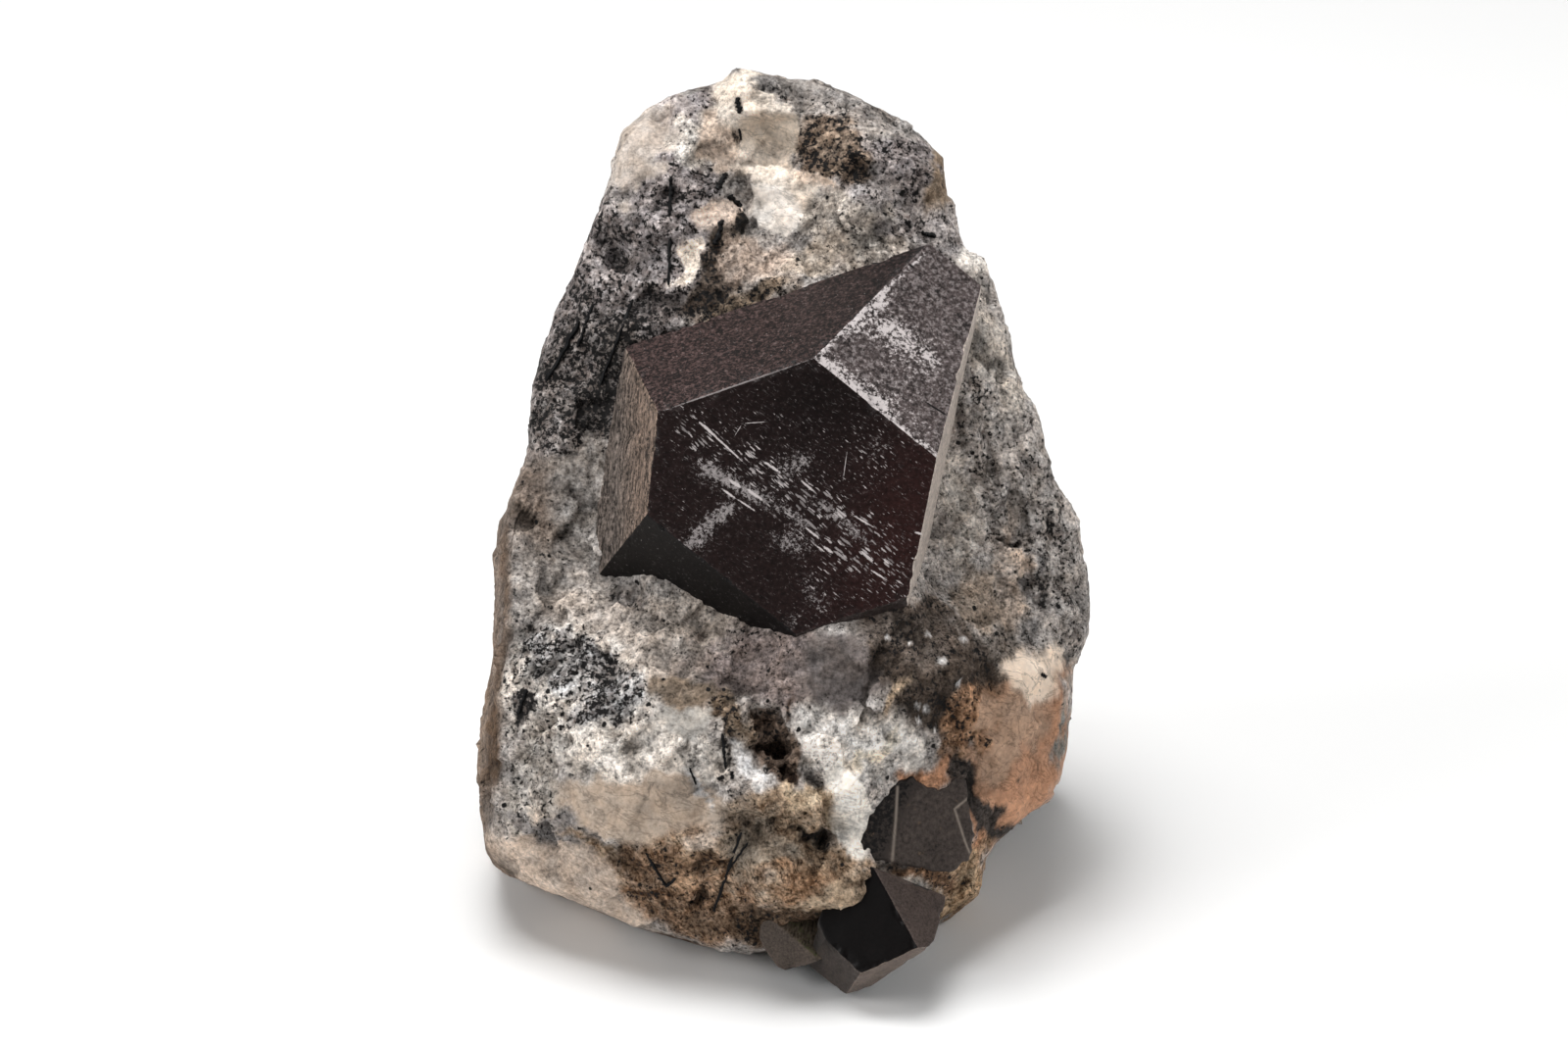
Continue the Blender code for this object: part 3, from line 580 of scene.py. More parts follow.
    "pale by the dark": ((16.6, -6.4, 2.2, 1.8, 30), 1.0, (0.44, 0.37, 0.31), 0.36, 0.2, 0.0),
    "dusky above the white top": ((19.4, -10.2, 2.6, 1.8, -50), 1.0, (0.21, 0.185, 0.165), 0.5, 0.2, 0.0),
    "white patch": ((5.6, -19.4, 5.2, 2.8, -16), 0.9, (0.76, 0.73, 0.70), 0.04, 0.1, 0.0),
    "yellow in the white": ((7.6, -20.6, 2.2, 0.5, 24), 0.8, (0.74, 0.67, 0.56), 0.0, 0.15, 0.2),
    "tan edge of the dark": ((9.4, -15.8, 1.9, 0.45, 58), 0.4, (0.62, 0.49, 0.36), 0.1, 0.4, 0.0),
    "white patch tail": ((5.8, -25.0, 4.2, 1.7, -66), 0.35, (1.0, 0.95, 0.88), 0.0, 0.0, 0.9),
    "orange patch": ((20.4, -20.6, 8.4, 4.5, 68), 0.8, ORANGE, 0.0, 0.0, 1.0),
    "tan over the orange": ((19.4, -18.0, 4.4, 2.6, 60), 2.0, (0.46, 0.31, 0.22), 0.0, 0.0, 1.0),
    "spot in the orange": ((20.6, -22.3, 0.32, 0.14, 80), 0.25, DARK_BROWN, 0.0, 0.3, 0.5),
    "upper spot in the orange": ((21.8, -21.1, 0.36, 0.14, 78), 0.25, DARK_BROWN, 0.0, 0.3, 0.5),
    "orange over the flat crystal": ((12.8, -21.7, 2.8, 1.3, 22), 0.6, ORANGE, 0.1, 0.2, 0.3),
    "bright by the orange": ((10.7, -19.6, 2.0, 0.9, -64), 0.35, (0.84, 0.80, 0.76), 0.0, 0.0, 0.6),
    "mottled orange": ((15.6, -17.4, 3.4, 1.4, 50), 0.8, (0.42, 0.265, 0.17), 0.6, 0.6, 0.0),
    "white top of the orange": ((21.8, -12.9, 2.5, 2.1, 20), 1.3, (1.0, 0.83, 0.68), 0.0, 0.0, 1.2),
    "green grey edge": ((24.6, -18.4, 4.2, 0.5, 86), 0.6, GREEN_GREY, 0.15, 0.0, 0.5),
    "dark tail": ((16.4, -23.4, 3.0, 1.0, -62), 0.4, (0.06, 0.052, 0.048), 0.4, 0.4, 0.0),
    "rim below the orange": ((16.8, -29.4, 2.8, 1.3, 66), 0.6, RUSTY, 0.3, 0.6, 0.0),
    "orange rim": ((17.0, -27.6, 2.6, 0.6, 64), 0.5, (0.50, 0.28, 0.17), 0.1, 0.3, 0.3),
    "dark right of the flat crystal": (
        (17.9, -25.6, 2.8, 1.5, -58), 0.4, (0.06, 0.052, 0.048), 0.4, 0.2, 0.0,
    ),
    "dark over the flat crystal": ((15.6, -20.9, 1.4, 0.9, -50), 0.5, (0.08, 0.07, 0.065), 0.5, 0.3, 0.0),
    "brown foot": ((14.9, -31.6, 3.2, 2.6, 60), 0.8, (0.46, 0.35, 0.24), 0.34, 0.65, 0.0),
    "rust between the crystals": ((12.2, -30.7, 2.8, 0.8, -12), 0.5, (0.32, 0.21, 0.14), 0.5, 0.6, 0.0),
    "pale rim": ((10.6, -30.9, 3.2, 0.2, -19), 0.3, WHITE, 0.0, 0.15, 0.3),
    # Partly painted shade: the brown strip along the foot is darkened for the shade on the lower part of the
    # stone, besides its own brown.
    "shaded brown strip at the foot": ((0.6, -34.4, 8.5, 2.0, -2), 0.9, (0.15, 0.11, 0.08), 0.45, 0.6, 0.0),
    "tan lip": ((4.6, -32.2, 2.6, 0.9, 8), 0.5, (0.58, 0.46, 0.34), 0.05, 0.35, 0.3),
}
COMMON_STONE = (*PALE_GREY, 0.4, 0.08, 0.0)
DARK_BACK = np.array([*MID_GREY, 0.62, 0.15, 0.0])
PALE_BACK = np.array([*PINK_BEIGE, 0.2, 0.25, 0.2])

# The wobble of the edges: its size and how far it reaches, in mm.
EDGE_WOBBLES = ((4.5, 1.2), (1.6, 1.0), (0.7, 0.6))
BLOCK_SOFTNESS = 0.3
WOBBLING_SOFTNESS = 0.6
PATCH_DEPTH = 7
PATCH_FADE = 4
FOOT_UP = -29
DEEPER_AT_THE_FOOT = 5


def block(across, up, left, low, length, width, turn):
    """The measure of oval for a turned rectangle: a cleaved grain with straight sides."""
    along, beside = turned_offsets(across, up, left, low, turn)
    return np.maximum(np.abs(along) / length, np.abs(beside) / width)


def layer_patches(points):
    """Colour, blackness, brownness and glassiness of each point: every patch in turn
    covers what is under it, in full inside its oval and fading over its soft edge. The
    ovals are bent by two sizes of random wobble, and fade out behind the rim."""
    across, up, out = to_face(points)
    bent_across, bent_up = across, up
    for seed, (size, reach) in enumerate(EDGE_WOBBLES):
        bent_across = bent_across + reach * mottle(points, size, 21 + seed)
        bent_up = bent_up + reach * mottle(points, size, 121 + seed)
    behind = out - show_face(points, across, up)
    foot_depth = np.clip(FOOT_UP - up, 0, DEEPER_AT_THE_FOOT)
    in_front = np.clip((behind + PATCH_DEPTH + foot_depth) / PATCH_FADE, 0, 1)
    back_kind = 0.5 + 0.5 * mottle(points, 9.0, 25) + 0.25 * mottle(points, 3.0, 26)
    share = np.clip(2 * back_kind - 0.4, 0, 1)[:, None]
    back = DARK_BACK * (1 - share) + PALE_BACK * share
    front = np.tile(COMMON_STONE, (len(points), 1))
    for (left, low, length, width, turn), softness, colour, *amounts in PATCHES.values():
        wobble = min(1, softness / WOBBLING_SOFTNESS)
        here_across = across + (bent_across - across) * wobble
        here_up = up + (bent_up - up) * wobble
        shape = block if softness < BLOCK_SOFTNESS else oval
        inside = (1 - shape(here_across, here_up, left, low, length, width, turn)) * min(length, width)
        cover = np.clip(0.5 + inside / softness, 0, 1)
        cover = (cover * cover * (3 - 2 * cover))[:, None]
        front = front * (1 - cover) + np.array([*colour, *amounts]) * cover
    return back * (1 - in_front[:, None]) + front * in_front[:, None]


# Pale grains scattered in the dark granular stone: across, up, radius.
PALE_GRAINS = (
    (13.6, -12.0, 0.5), (14.9, -13.9, 0.35), (11.7, -15.9, 0.3), (12.4, -16.2, 0.35), (11.6, -17.1, 0.35),
    (10.9, -10.5, 0.3), (15.4, -10.2, 0.4), (12.6, -9.6, 0.3), (9.0, -9.9, 0.3), (13.0, -17.9, 0.3),
)

# Ovals with a surface of their own.
LUMPY_GRAIN = (-0.9, -19.5, 3.1, 1.6, -62)
FIBROUS_GRAIN = (1.6, -27.0, 6.6, 4.6, -22)
FURROWED_FLANK = (20.2, 2.0, 16.0, 4.2, -74)
JOINT_STONE = np.array([0.125, 0.084, 0.057, 0.12, 0.35, 0.2])


def turned(across, up, out, turn, length, width, depth):
    """Face coordinates turned in the plane of the face and measured in units of sizes."""
    along, beside = turned_offsets(across, up, 0, 0, turn)
    return np.column_stack([along / length, beside / width, out / depth])


flat_points = rings.reshape(-1, 3)
kinds = layer_patches(flat_points)
across, up, out = to_face(flat_points)
on_joint = np.clip(1 + (beyond_the_joint(across, up, out) + 0.15) / 0.5, 0, 1)
far_left = np.clip((-19 - across) / 2, 0, 1)
behind_the_front = np.clip((-9 - out) / 3, 0, 1)
before_the_back = np.clip((24 + out) / 6, 0, 1)
stained_flank = 0.7 * far_left * behind_the_front * before_the_back
joint = (np.maximum(on_joint, stained_flank) * np.clip((8 - up) / 4, 0, 1))[:, None]
kinds = kinds * (1 - joint) + JOINT_STONE * joint
roughness_here = 1 - 0.75 * kinds[:, 5]
grain = split_grains(flat_points, 1.1, 31)
large_grain = split_grains(flat_points, 3.6, 41)
relief = 0.26 * (grain - 0.25) * roughness_here
relief += 0.62 * (large_grain - 0.25) * (0.35 + 0.65 * roughness_here)
relief += (0.14 * mottle(flat_points, 0.9, 51) + 0.18 * mottle(flat_points, 2.1, 52)) * roughness_here
relief += 0.07 * mottle(flat_points, 0.5, 53) * roughness_here
lumps = split_grains(flat_points, 1.0, 61)
relief += 1.5 * (lumps - 0.2) * mound(across, up, LUMPY_GRAIN)
fibres = mottle(turned(across, up, out, -58, 2.4, 0.55, 1), 1, 62)
relief += 0.26 * fibres * mound(across, up, FIBROUS_GRAIN)
on_the_flank = mound(across, up, FURROWED_FLANK)
relief += 0.32 * mottle(turned(across, up, out, -80, 4.5, 0.9, 2), 1, 63) * on_the_flank
# Painted shade: the stone's colour is darkened in the hollows of the fine relief and lightened on its tops.
kinds[:, :3] *= np.clip(1.02 + 1.1 * relief, 0.4, 1.3)[:, None]
flank_streaks = mottle(turned(across, up, out, -80, 3.4, 0.55, 2), 1, 64)
kinds[:, :3] *= (1 + 0.42 * flank_streaks * on_the_flank)[:, None]
kinds[:, 3] -= 0.16 * flank_streaks * on_the_flank
for left, low, radius in PALE_GRAINS:
    grain_share = np.clip(1.6 * (1 - oval(across, up, left, low, radius, 0.8 * radius, 20)), 0, 1)[:, None]
    kinds = kinds * (1 - grain_share) + np.array([*BLUE_WHITE, 0, 0, 0.6]) * grain_share
relief *= 1 - 0.85 * mound(across, up, FEATURES["groove_under_the_crystal"][:5])
past_the_rim = np.repeat(np.arange(len(rings)) - FRONT_STEPS, COLUMNS)
relief *= 1 - 0.6 * np.exp(-(((past_the_rim - 3) / 6) ** 2))
relief -= 0.4 * np.exp(-(((past_the_rim - 12) / 8) ** 2))
relief *= 1 - 0.85 * bed_share(across, up)
foot = np.clip(flat_points[:, 2] / 1.5, 0, 1)
shaped = flat_points + normals.reshape(-1, 3) * (relief * foot)[:, None]
shaped[:, 2] = np.maximum(shaped[:, 2], 0)


def ring_quads(ring_count, column_count):
    """Quads between neighbouring rings of points."""
    ring, column = np.meshgrid(np.arange(ring_count - 1), np.arange(column_count), indexing="ij")
    beside = (column + 1) % column_count
    return np.stack([
        ring * column_count + column,
        ring * column_count + beside,
        (ring + 1) * column_count + beside,
        (ring + 1) * column_count + column,
    ], axis=-1).reshape(-1, 4)


def skin_faces(ring_count, column_count):
    """Quads between neighbouring rings, and a fan of triangles to a point at each end."""
    first, last = ring_count * column_count, ring_count * column_count + 1
    columns = np.arange(column_count)
    after = (columns + 1) % column_count
    end = (ring_count - 1) * column_count
    near_fan = np.stack([np.full(column_count, first), after, columns], axis=1)
    far_fan = np.stack([np.full(column_count, last), end + columns, end + after], axis=1)
    return ring_quads(ring_count, column_count).tolist() + near_fan.tolist() + far_fan.tolist()


def make_piece(name, points, faces, attributes=(), domain="POINT", smooth=True):
    """A mesh object of points in mm, with named values or colours on its points or on
    the corners of its faces."""
    mesh = bpy.data.meshes.new(name)
    mesh.from_pydata(np.asarray(points) * MM, [], faces)
    for label, values in dict(attributes).items():
        if values.ndim == 1:
            mesh.attributes.new(label, "FLOAT", domain).data.foreach_set("value", values.astype(np.float32))
        else:
            filled = np.column_stack([values, np.ones(len(values))]).astype(np.float32)
            mesh.attributes.new(label, "FLOAT_COLOR", domain).data.foreach_set("color", filled.ravel())
    if smooth:
        mesh.shade_smooth()
    piece = bpy.data.objects.new(name, mesh)
    bpy.context.collection.objects.link(piece)
    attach(piece, "root")
    return piece


def turn_outwards(piece):
    """Turns all faces round if they look inwards, which makes the volume negative."""
    work = bmesh.new()
    work.from_mesh(piece.data)
    if work.calc_volume(signed=True) < 0:
        bmesh.ops.reverse_faces(work, faces=work.faces)
    work.to_mesh(piece.data)
    work.free()


ends = np.stack([shaped[:COLUMNS].mean(axis=0), shaped[-COLUMNS:].mean(axis=0)])
end_kinds = np.stack([kinds[0], kinds[-1]])
all_kinds = np.vstack([kinds, end_kinds])
rock = make_piece(
    "feldspar_rock",
    np.vstack([shaped, ends]),
    skin_faces(len(rings), COLUMNS),
    {
        "stone_colour": all_kinds[:, :3],
        "blackness": all_kinds[:, 3],
        "brownness": all_kinds[:, 4],
        "glassiness": all_kinds[:, 5],
    },
)
turn_outwards(rock)
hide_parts("matrix")


class Value:
    """A number that varies over a surface: a node's socket with plain arithmetic."""

    def __init__(self, finish, socket):
        self.finish = finish
        self.socket = socket

    def __add__(self, other):
        return self.finish.number("ADD", self, other)

    def __sub__(self, other):
        return self.finish.number("SUBTRACT", self, other)

    def __rsub__(self, other):
        return self.finish.number("SUBTRACT", other, self)

    def __mul__(self, other):
        return self.finish.number("MULTIPLY", self, other)

    __radd__ = __add__
    __rmul__ = __mul__

    def clipped(self):
        return self.finish.number("MULTIPLY", self, 1.0, clamp=True)

    def most(self, other):
        return self.finish.number("MAXIMUM", self, other)


class Finish:
    """The material of one piece, with a shader whose fixed values are given first."""

    def __init__(self, name, **fixed):
        self.material = bpy.data.materials.new(name)
        self.material.use_nodes = True
        self.tree = self.material.node_tree
        self.shader = self.tree.nodes["Principled BSDF"]
        for label, value in fixed.items():
            self.shader.inputs[label.replace("_", " ").title().replace("Ior", "IOR")].default_value = value

    def node(self, kind, settings=(), inputs=(), output=0):
        """Any node: its type, its settings, the values or links of its sockets, and
        which of its outputs is wanted."""
        made = self.tree.nodes.new(kind)
        for label, value in dict(settings).items():
            setattr(made, label, value)
        for label, value in dict(inputs).items():
            if isinstance(value, Value):
                self.tree.links.new(value.socket, made.inputs[label])
            else:
                made.inputs[label].default_value = value
        return Value(self, made.outputs[output])

    def number(self, operation, first, second, clamp=False):
        settings = {"operation": operation, "use_clamp": clamp}
        return self.node("ShaderNodeMath", settings, {0: first, 1: second})

    def place(self):
        """Face coordinates in mm, from the piece's own Object coordinates."""
        x, y, z = FACE_CENTRE
        up = y * np.sin(LEAN) + z * np.cos(LEAN)
        out = z * np.sin(LEAN) - y * np.cos(LEAN)
        coordinates = self.node("ShaderNodeTexCoord", output="Object")
        return self.node("ShaderNodeMapping", {}, {
            "Vector": coordinates,
            "Location": (-x, -up, -out),
            "Rotation": (LEAN - np.pi / 2, 0, 0),
            "Scale": (1 / MM, 1 / MM, 1 / MM),
        })

    def stretched(self, place, turn, sizes):
        """The place turned in the plane of the face and measured in units of sizes."""
        turned = self.node("ShaderNodeMapping", {}, {"Vector": place, "Rotation": (0, 0, -np.radians(turn))})
        return self.node("ShaderNodeVectorMath", {"operation": "DIVIDE"}, {0: turned, 1: sizes})

    def scaled(self, vector, factor):
        return self.node("ShaderNodeVectorMath", {"operation": "SCALE"}, {0: vector, "Scale": factor})

    def bent(self, place, size, reach):
        """The place pushed about by slow noise, so that a straight pattern bends."""
        push = self.noise(place, size, 2, 0.5, colour=True)
        middle = self.node("ShaderNodeVectorMath", {"operation": "SUBTRACT"}, {0: push, 1: (0.5, 0.5, 0.5)})
        shift = self.scaled(middle, 2 * reach)
        return self.node("ShaderNodeVectorMath", {"operation": "ADD"}, {0: place, 1: shift})

    def noise(self, place, size, detail, roughness, distortion=0.0, colour=False):
        return self.node("ShaderNodeTexNoise", {}, {
            "Vector": place,
            "Scale": 1 / size,
            "Detail": detail,
            "Roughness": roughness,
            "Distortion": distortion,
        }, output="Color" if colour else "Fac")

    def grains(self, place, spacing, dimensions="3D"):
        """A random point in every cell of a grid: the distance to the nearest one, and
        three random numbers that belong to it."""
        inputs = {"Vector": place, "Scale": 1 / spacing}
        distance = self.node("ShaderNodeTexVoronoi", {"voronoi_dimensions": dimensions}, inputs, "Distance")
        return distance, *self.channels(Value(self, distance.socket.node.outputs["Color"]))

    def channels(self, colour):
        """The three channels of a colour as numbers."""
        parts = self.node("ShaderNodeSeparateColor", {}, {"Color": colour})
        return [Value(self, parts.socket.node.outputs[number]) for number in range(3)]

    def attribute(self, name, output="Fac"):
        return self.node("ShaderNodeAttribute", {"attribute_name": name}, output=output)

    def mix(self, share, first, second, blend="MIX"):
        """Colours mixed: share of the second over the first."""
        settings = {"data_type": "RGBA", "blend_type": blend}
        first, second = [value if isinstance(value, Value) else (*value, 1) for value in (first, second)]
        return self.node("ShaderNodeMix", settings, {0: share, 6: first, 7: second}, output=2)

    def bump(self, height, strength, distance):
        inputs = {"Height": height, "Strength": strength, "Distance": distance * MM}
        return self.node("ShaderNodeBump", {}, inputs)

    def set(self, label, value):
        """Feeds a socket of the shader."""
        self.tree.links.new(value.socket, self.shader.inputs[label])

    def cover(self, piece):
        piece.data.materials.append(self.material)


GRAIN_SIZE = 0.4
LOOSE_GRAIN_SPACING = 1.3
FIBRE_TURN = -60
FIBRE_SIZES = (1.9, 0.24, 0.6)
VEIN_TURN = -14
VEIN_SIZES = (3.4, 1.3, 1.5)
COOL_TINGE = (0.98, 0.985, 0.99)
WARM_TINGE = (1.05, 0.99, 0.93)
PALE_RUST = (0.72, 0.58, 0.46)
DARK_RUST = (0.24, 0.18, 0.14)
SMEARED_BLACK = (0.24, 0.215, 0.205)
DEEP_BLACK = (0.001, 0.001, 0.001)
WORN_BLACK = (0.026, 0.024, 0.0235)
stone = Finish("peppered_feldspar", specular_ior_level=0.07)
place = stone.place()
tint = stone.attribute("stone_colour", "Color")
black = stone.attribute("blackness")
brown = stone.attribute("brownness")
glassy = stone.attribute("glassiness")
slow = stone.noise(place, 3.4, 3, 0.6)
blotch = stone.noise(place, 1.5, 2, 0.5)
middling = stone.noise(place, 0.95, 4, 0.64)
fine = stone.noise(place, 0.36, 4, 0.72)
grain_distance, _, grain_tone, _ = stone.grains(stone.bent(place, 0.25, 0.09), GRAIN_SIZE)
unrest = 1 - 0.74 * glassy
grainy = 4.2 * (fine - 0.5) + 1.8 * (middling - 0.5) + 0.8 * (blotch - 0.5) + 0.3 * (grain_tone - 0.5)
fibre_place = stone.stretched(stone.bent(place, 1.6, 0.9), FIBRE_TURN, FIBRE_SIZES)
fibres = stone.noise(fibre_place, 1.0, 4, 0.66)
shade = 0.95 + unrest * grainy + 0.8 * (slow - 0.5) + 7 * (brown - 0.2).clipped() * (fibres - 0.5)
vein_place = stone.stretched(place, VEIN_TURN, VEIN_SIZES)
vein_noise = stone.noise(vein_place, 1.0, 4, 0.6, 0.6)
hairline = (1 - 26 * stone.number("ABSOLUTE", vein_noise - 0.5, 0)).clipped() * glassy
shaded = stone.scaled(tint, (shade * (1 - 0.4 * hairline)).most(0.07))
warm_share = ((stone.noise(place, 2.0, 3, 0.6) - 0.35) * 3).clipped()
tinted = stone.mix(1.0, shaded, stone.mix(warm_share, COOL_TINGE, WARM_TINGE), "MULTIPLY")
stain_noise = stone.noise(place, 1.1, 5, 0.66)
stain = (brown * (stain_noise - 0.34) * 4.4).clipped()
rust = stone.mix(((stain_noise - 0.5) * 6).clipped(), PALE_RUST, DARK_RUST)
stained = stone.mix(stain, tinted, stone.mix(1.0, tinted, rust, "MULTIPLY"))
dense = black + 0.8 * (stone.noise(place, 2.8, 3, 0.6) - 0.5) + 0.8 * (blotch - 0.5)
haze = ((stone.noise(place, 0.7, 4, 0.7) - 0.77 + 0.6 * dense) * 4).clipped() * (black * 2.6).clipped()
smeared = stone.mix(1.0, stained, SMEARED_BLACK, "MULTIPLY")
hazy = stone.mix(haze * (3.4 * fine - 0.95).clipped(), stained, smeared)
streak = ((stone.noise(place, 0.44, 3, 0.7) - 0.715 + 0.31 * dense) * 14).clipped()
dot_distance, dot_chance, _, _ = stone.grains(stone.bent(place, 0.4, 0.12), LOOSE_GRAIN_SPACING)
dot = ((0.46 * dot_chance - 0.24 - dot_distance + 0.25 * (fine - 0.5)) * 26).clipped()
speck = streak.most(dot) * (black * 12).clipped()
black_grain = stone.mix(fine, DEEP_BLACK, WORN_BLACK)
stone.set("Base Color", stone.mix(speck, hazy, black_grain))
stone.set("Roughness", 0.82 - 0.3 * glassy - 0.25 * speck)
grit = 0.5 * fine + 0.3 * grain_tone + 0.6 * middling - 0.4 * grain_distance
stone.set("Normal", stone.bump(grit, 0.95 - 0.6 * glassy, 0.26))
stone.cover(rock)

# The aegirine needles.
# Thin black prisms that grew through the feldspar before it split: they lie half in
# the show face, with grooved sides and broken ends.
NEEDLES = {
    "by the nook": ((-5.3, 26.3), (-6.0, 24.1), 0.62),
    "nook blob upper": ((-5.0, 30.4), (-5.8, 28.9), 0.62),
    "nook blob lower": ((-4.8, 28.4), (-3.7, 27.4), 0.66),
    "left long": ((-16.0, 11.9), (-13.1, 19.4), 0.38),
    "left short": ((-17.9, 15.2), (-16.6, 18.9), 0.36),
    "left edge": ((-20.6, 12.3), (-17.7, 17.5), 0.52),
    "upright streak": ((-9.8, 30.0), (-9.9, 26.8), 0.42),
    "upright streak below": ((-9.9, 24.8), (-10.0, 20.6), 0.38),
    "foot left stroke": ((-12.0, -28.6), (-10.2, -31.5), 0.34),
    "foot right stroke": ((-9.4, -30.8), (-10.3, -31.6), 0.32),
    "long in the stain": ((-3.7, -26.8), (-6.3, -34.2), 0.30),
    "beside the long one": ((-3.1, -27.7), (-4.9, -30.2), 0.22),
    "in the beige": ((-8.2, -21.2), (-7.6, -22.7), 0.22),
    "by the square grain": ((-4.1, 36.9), (-3.8, 35.5), 0.56),
    "under the band": ((-3.9, 34.2), (-3.7, 33.2), 0.26),
    "top right": ((11.9, 25.2), (13.2, 24.8), 0.46),
    "in the pale left": ((-23.1, -16.6), (-22.3, -14.4), 0.40),
    "slot upper": ((-5.35, -18.3), (-5.15, -20.2), 0.34),
    "slot lower": ((-5.2, -20.0), (-5.05, -21.4), 0.26),
    "slot foot left": ((-5.8, -22.2), (-5.2, -22.0), 0.42),
    "slot foot right": ((-4.5, -21.5), (-4.5, -22.2), 0.40),
    "grain in the orange": ((22.3, -13.1), (22.8, -13.4), 0.44),
}
NEEDLE_STATIONS = 14
NEEDLE_SIDES = 6
STANDS_OUT = 0.1
WANDER = 0.16
TIP_WIDTH = 0.45
NEEDLE_BLACK = (0.002, 0.002, 0.002)
GROOVE_BLACK = (0.010, 0.010, 0.011)
NEIGHBOURS = 8
FRONT_SKIN = np.column_stack(to_face(shaped[: FRONT_STEPS * COLUMNS]))


def rock_out(across, up):
    """How far out the split rock reaches at places of the show face: the mean of the
    skin's few points that lie nearest in across and up."""
    gap = (FRONT_SKIN[:, 0] - across[:, None]) ** 2 + (FRONT_SKIN[:, 1] - up[:, None]) ** 2
    nearest = np.argpartition(gap, NEIGHBOURS, axis=1)[:, :NEIGHBOURS]
    return FRONT_SKIN[nearest, 2].mean(axis=1)


def needle(start, end, thickness, seed):
    """A six-sided prism carried along the straight line between two places of the
    rock, with each station lifted to the rock and the ends drawn in."""
    chance = np.random.default_rng(seed)
    step = np.linspace(0, 1, NEEDLE_STATIONS)
    middle = np.array(start) + step[:, None] * (np.array(end) - start)
    out = rock_out(middle[:, 0], middle[:, 1])
    straight = np.polyval(np.polyfit(step, out, 1), step)
    out = np.maximum(0.3 * out + 0.7 * straight, out) + STANDS_OUT * thickness
    run = np.array(end) - start
    beside = np.array([-run[1], run[0]]) / np.hypot(*run)
    middle = middle + beside * (WANDER * thickness * chance.uniform(-1, 1, len(step)))[:, None]
    drawn_in = np.where((step == 0) | (step == 1), TIP_WIDTH, 1)
    radius = 0.5 * thickness * drawn_in * chance.uniform(0.65, 1.15, len(step))
    angle = 2 * np.pi * (np.arange(NEEDLE_SIDES) + 0.5) / NEEDLE_SIDES
    wide = radius[:, None] * np.cos(angle)
    points = np.stack([
        middle[:, :1] + beside[0] * wide,
        middle[:, 1:] + beside[1] * wide,
        out[:, None] + radius[:, None] * np.sin(angle),
    ], axis=-1)
    return to_world(points)


needle_points, needle_faces = [], []
for seed, (start, end, thickness) in enumerate(NEEDLES.values()):
    prism = needle(start, end, thickness, seed)
    closed = skin_faces(NEEDLE_STATIONS, NEEDLE_SIDES)
    shift = sum(len(points) for points in needle_points)
    needle_faces += [[corner + shift for corner in face] for face in closed]
    needle_points.append(np.vstack([prism.reshape(-1, 3), prism[0].mean(axis=0), prism[-1].mean(axis=0)]))
needles = make_piece("aegirine_needles", np.vstack(needle_points), needle_faces, smooth=False)
turn_outwards(needles)
aegirine = Finish("black_aegirine", specular_ior_level=0.08)
place = aegirine.place()
grooves = aegirine.noise(place, 0.3, 3, 0.6)
aegirine.set("Base Color", aegirine.mix(grooves, NEEDLE_BLACK, GROOVE_BLACK))
aegirine.set("Roughness", 0.25 + 0.3 * grooves)
aegirine.set("Normal", aegirine.bump(grooves, 0.5, 0.06))
aegirine.cover(needles)

# The large crystal.
# Lorenzenite grown free in a cavity: flat faces in parallel pairs that meet in sharp
# edges. The front is nearly black and covered in small parallel growth flakes, the
# upper right face is frosted along its edges, and the left one is rough and striated.
LARGE_CRYSTAL_FACES = {
    "front": (0, 0, 0.0),
    "upper": (109.1, 56.3, 10.57),
    "upper_right": (51.0, 34.2, 7.16),
    "right": (348.5, 83.4, 11.79),
    "lower_right": (288.3, 50.0, 7.27),
    "lower_left": (231.2, 56.3, 5.74),
    "left": (173.8, 69.2, 11.16),
    "back": (0, 180, 19.5),
    "back_of_upper": (289.1, 123.7, 20.3),
    "back_of_upper_right": (231.0, 145.8, 20.7),
    "back_of_right": (168.5, 96.6, 18.2),
    "back_of_lower_right": (108.3, 130.0, 21.35),
    "back_of_lower_left": (51.2, 123.7, 28.5),
    "back_of_left": (353.8, 110.8, 20.0),
}
PARALLEL = 1e-6
SAME_CORNER = 0.001
FACE_RINGS = 44
BURIED_RINGS = 12
MOST_SEEN_DIP = 99
RING_CROWDING = 1.25
EDGE_STEP = 0.3
CORNER_ROUNDING = 0.05
CHIP_REACH = 0.4
# How far from an edge the painted edge highlight reaches, in mm.
LIT_EDGE_REACH = 0.16
LARGE_CHIPS = 0.35


def face_planes(faces):
    """The outward direction and the distance of each face, in face coordinates."""
    azimuth, dip, distance = np.array(list(faces.values()), float).T
    azimuth, dip = np.radians([azimuth, dip])
    across, up, out = np.cos(azimuth) * np.sin(dip), np.sin(azimuth) * np.sin(dip), np.cos(dip)
    return np.column_stack([across, up, out]), distance


def crystal_outlines(normals, distances):
    """The corners of every face in order round it. A corner is a point where three
    faces meet and that no other face cuts off."""
    corners = []
    for trio in map(list, combinations(range(len(normals)), 3)):
        if abs(np.linalg.det(normals[trio])) < PARALLEL:
            continue
        corner = np.linalg.solve(normals[trio], distances[trio])
        kept = (normals @ corner <= distances + SAME_CORNER).all()
        if kept and not any(np.linalg.norm(corner - other) < SAME_CORNER for other in corners):
            corners.append(corner)
    corners = np.array(corners)
    for normal, distance in zip(normals, distances):
        own = corners[np.abs(corners @ normal - distance) < 2 * SAME_CORNER]
        if len(own) < 3:
            yield None
            continue
        middle = own.mean(axis=0)
        first = own[0] - middle
        second = np.cross(normal, first)
        yield own[np.argsort(np.arctan2((own - middle) @ second, (own - middle) @ first))]


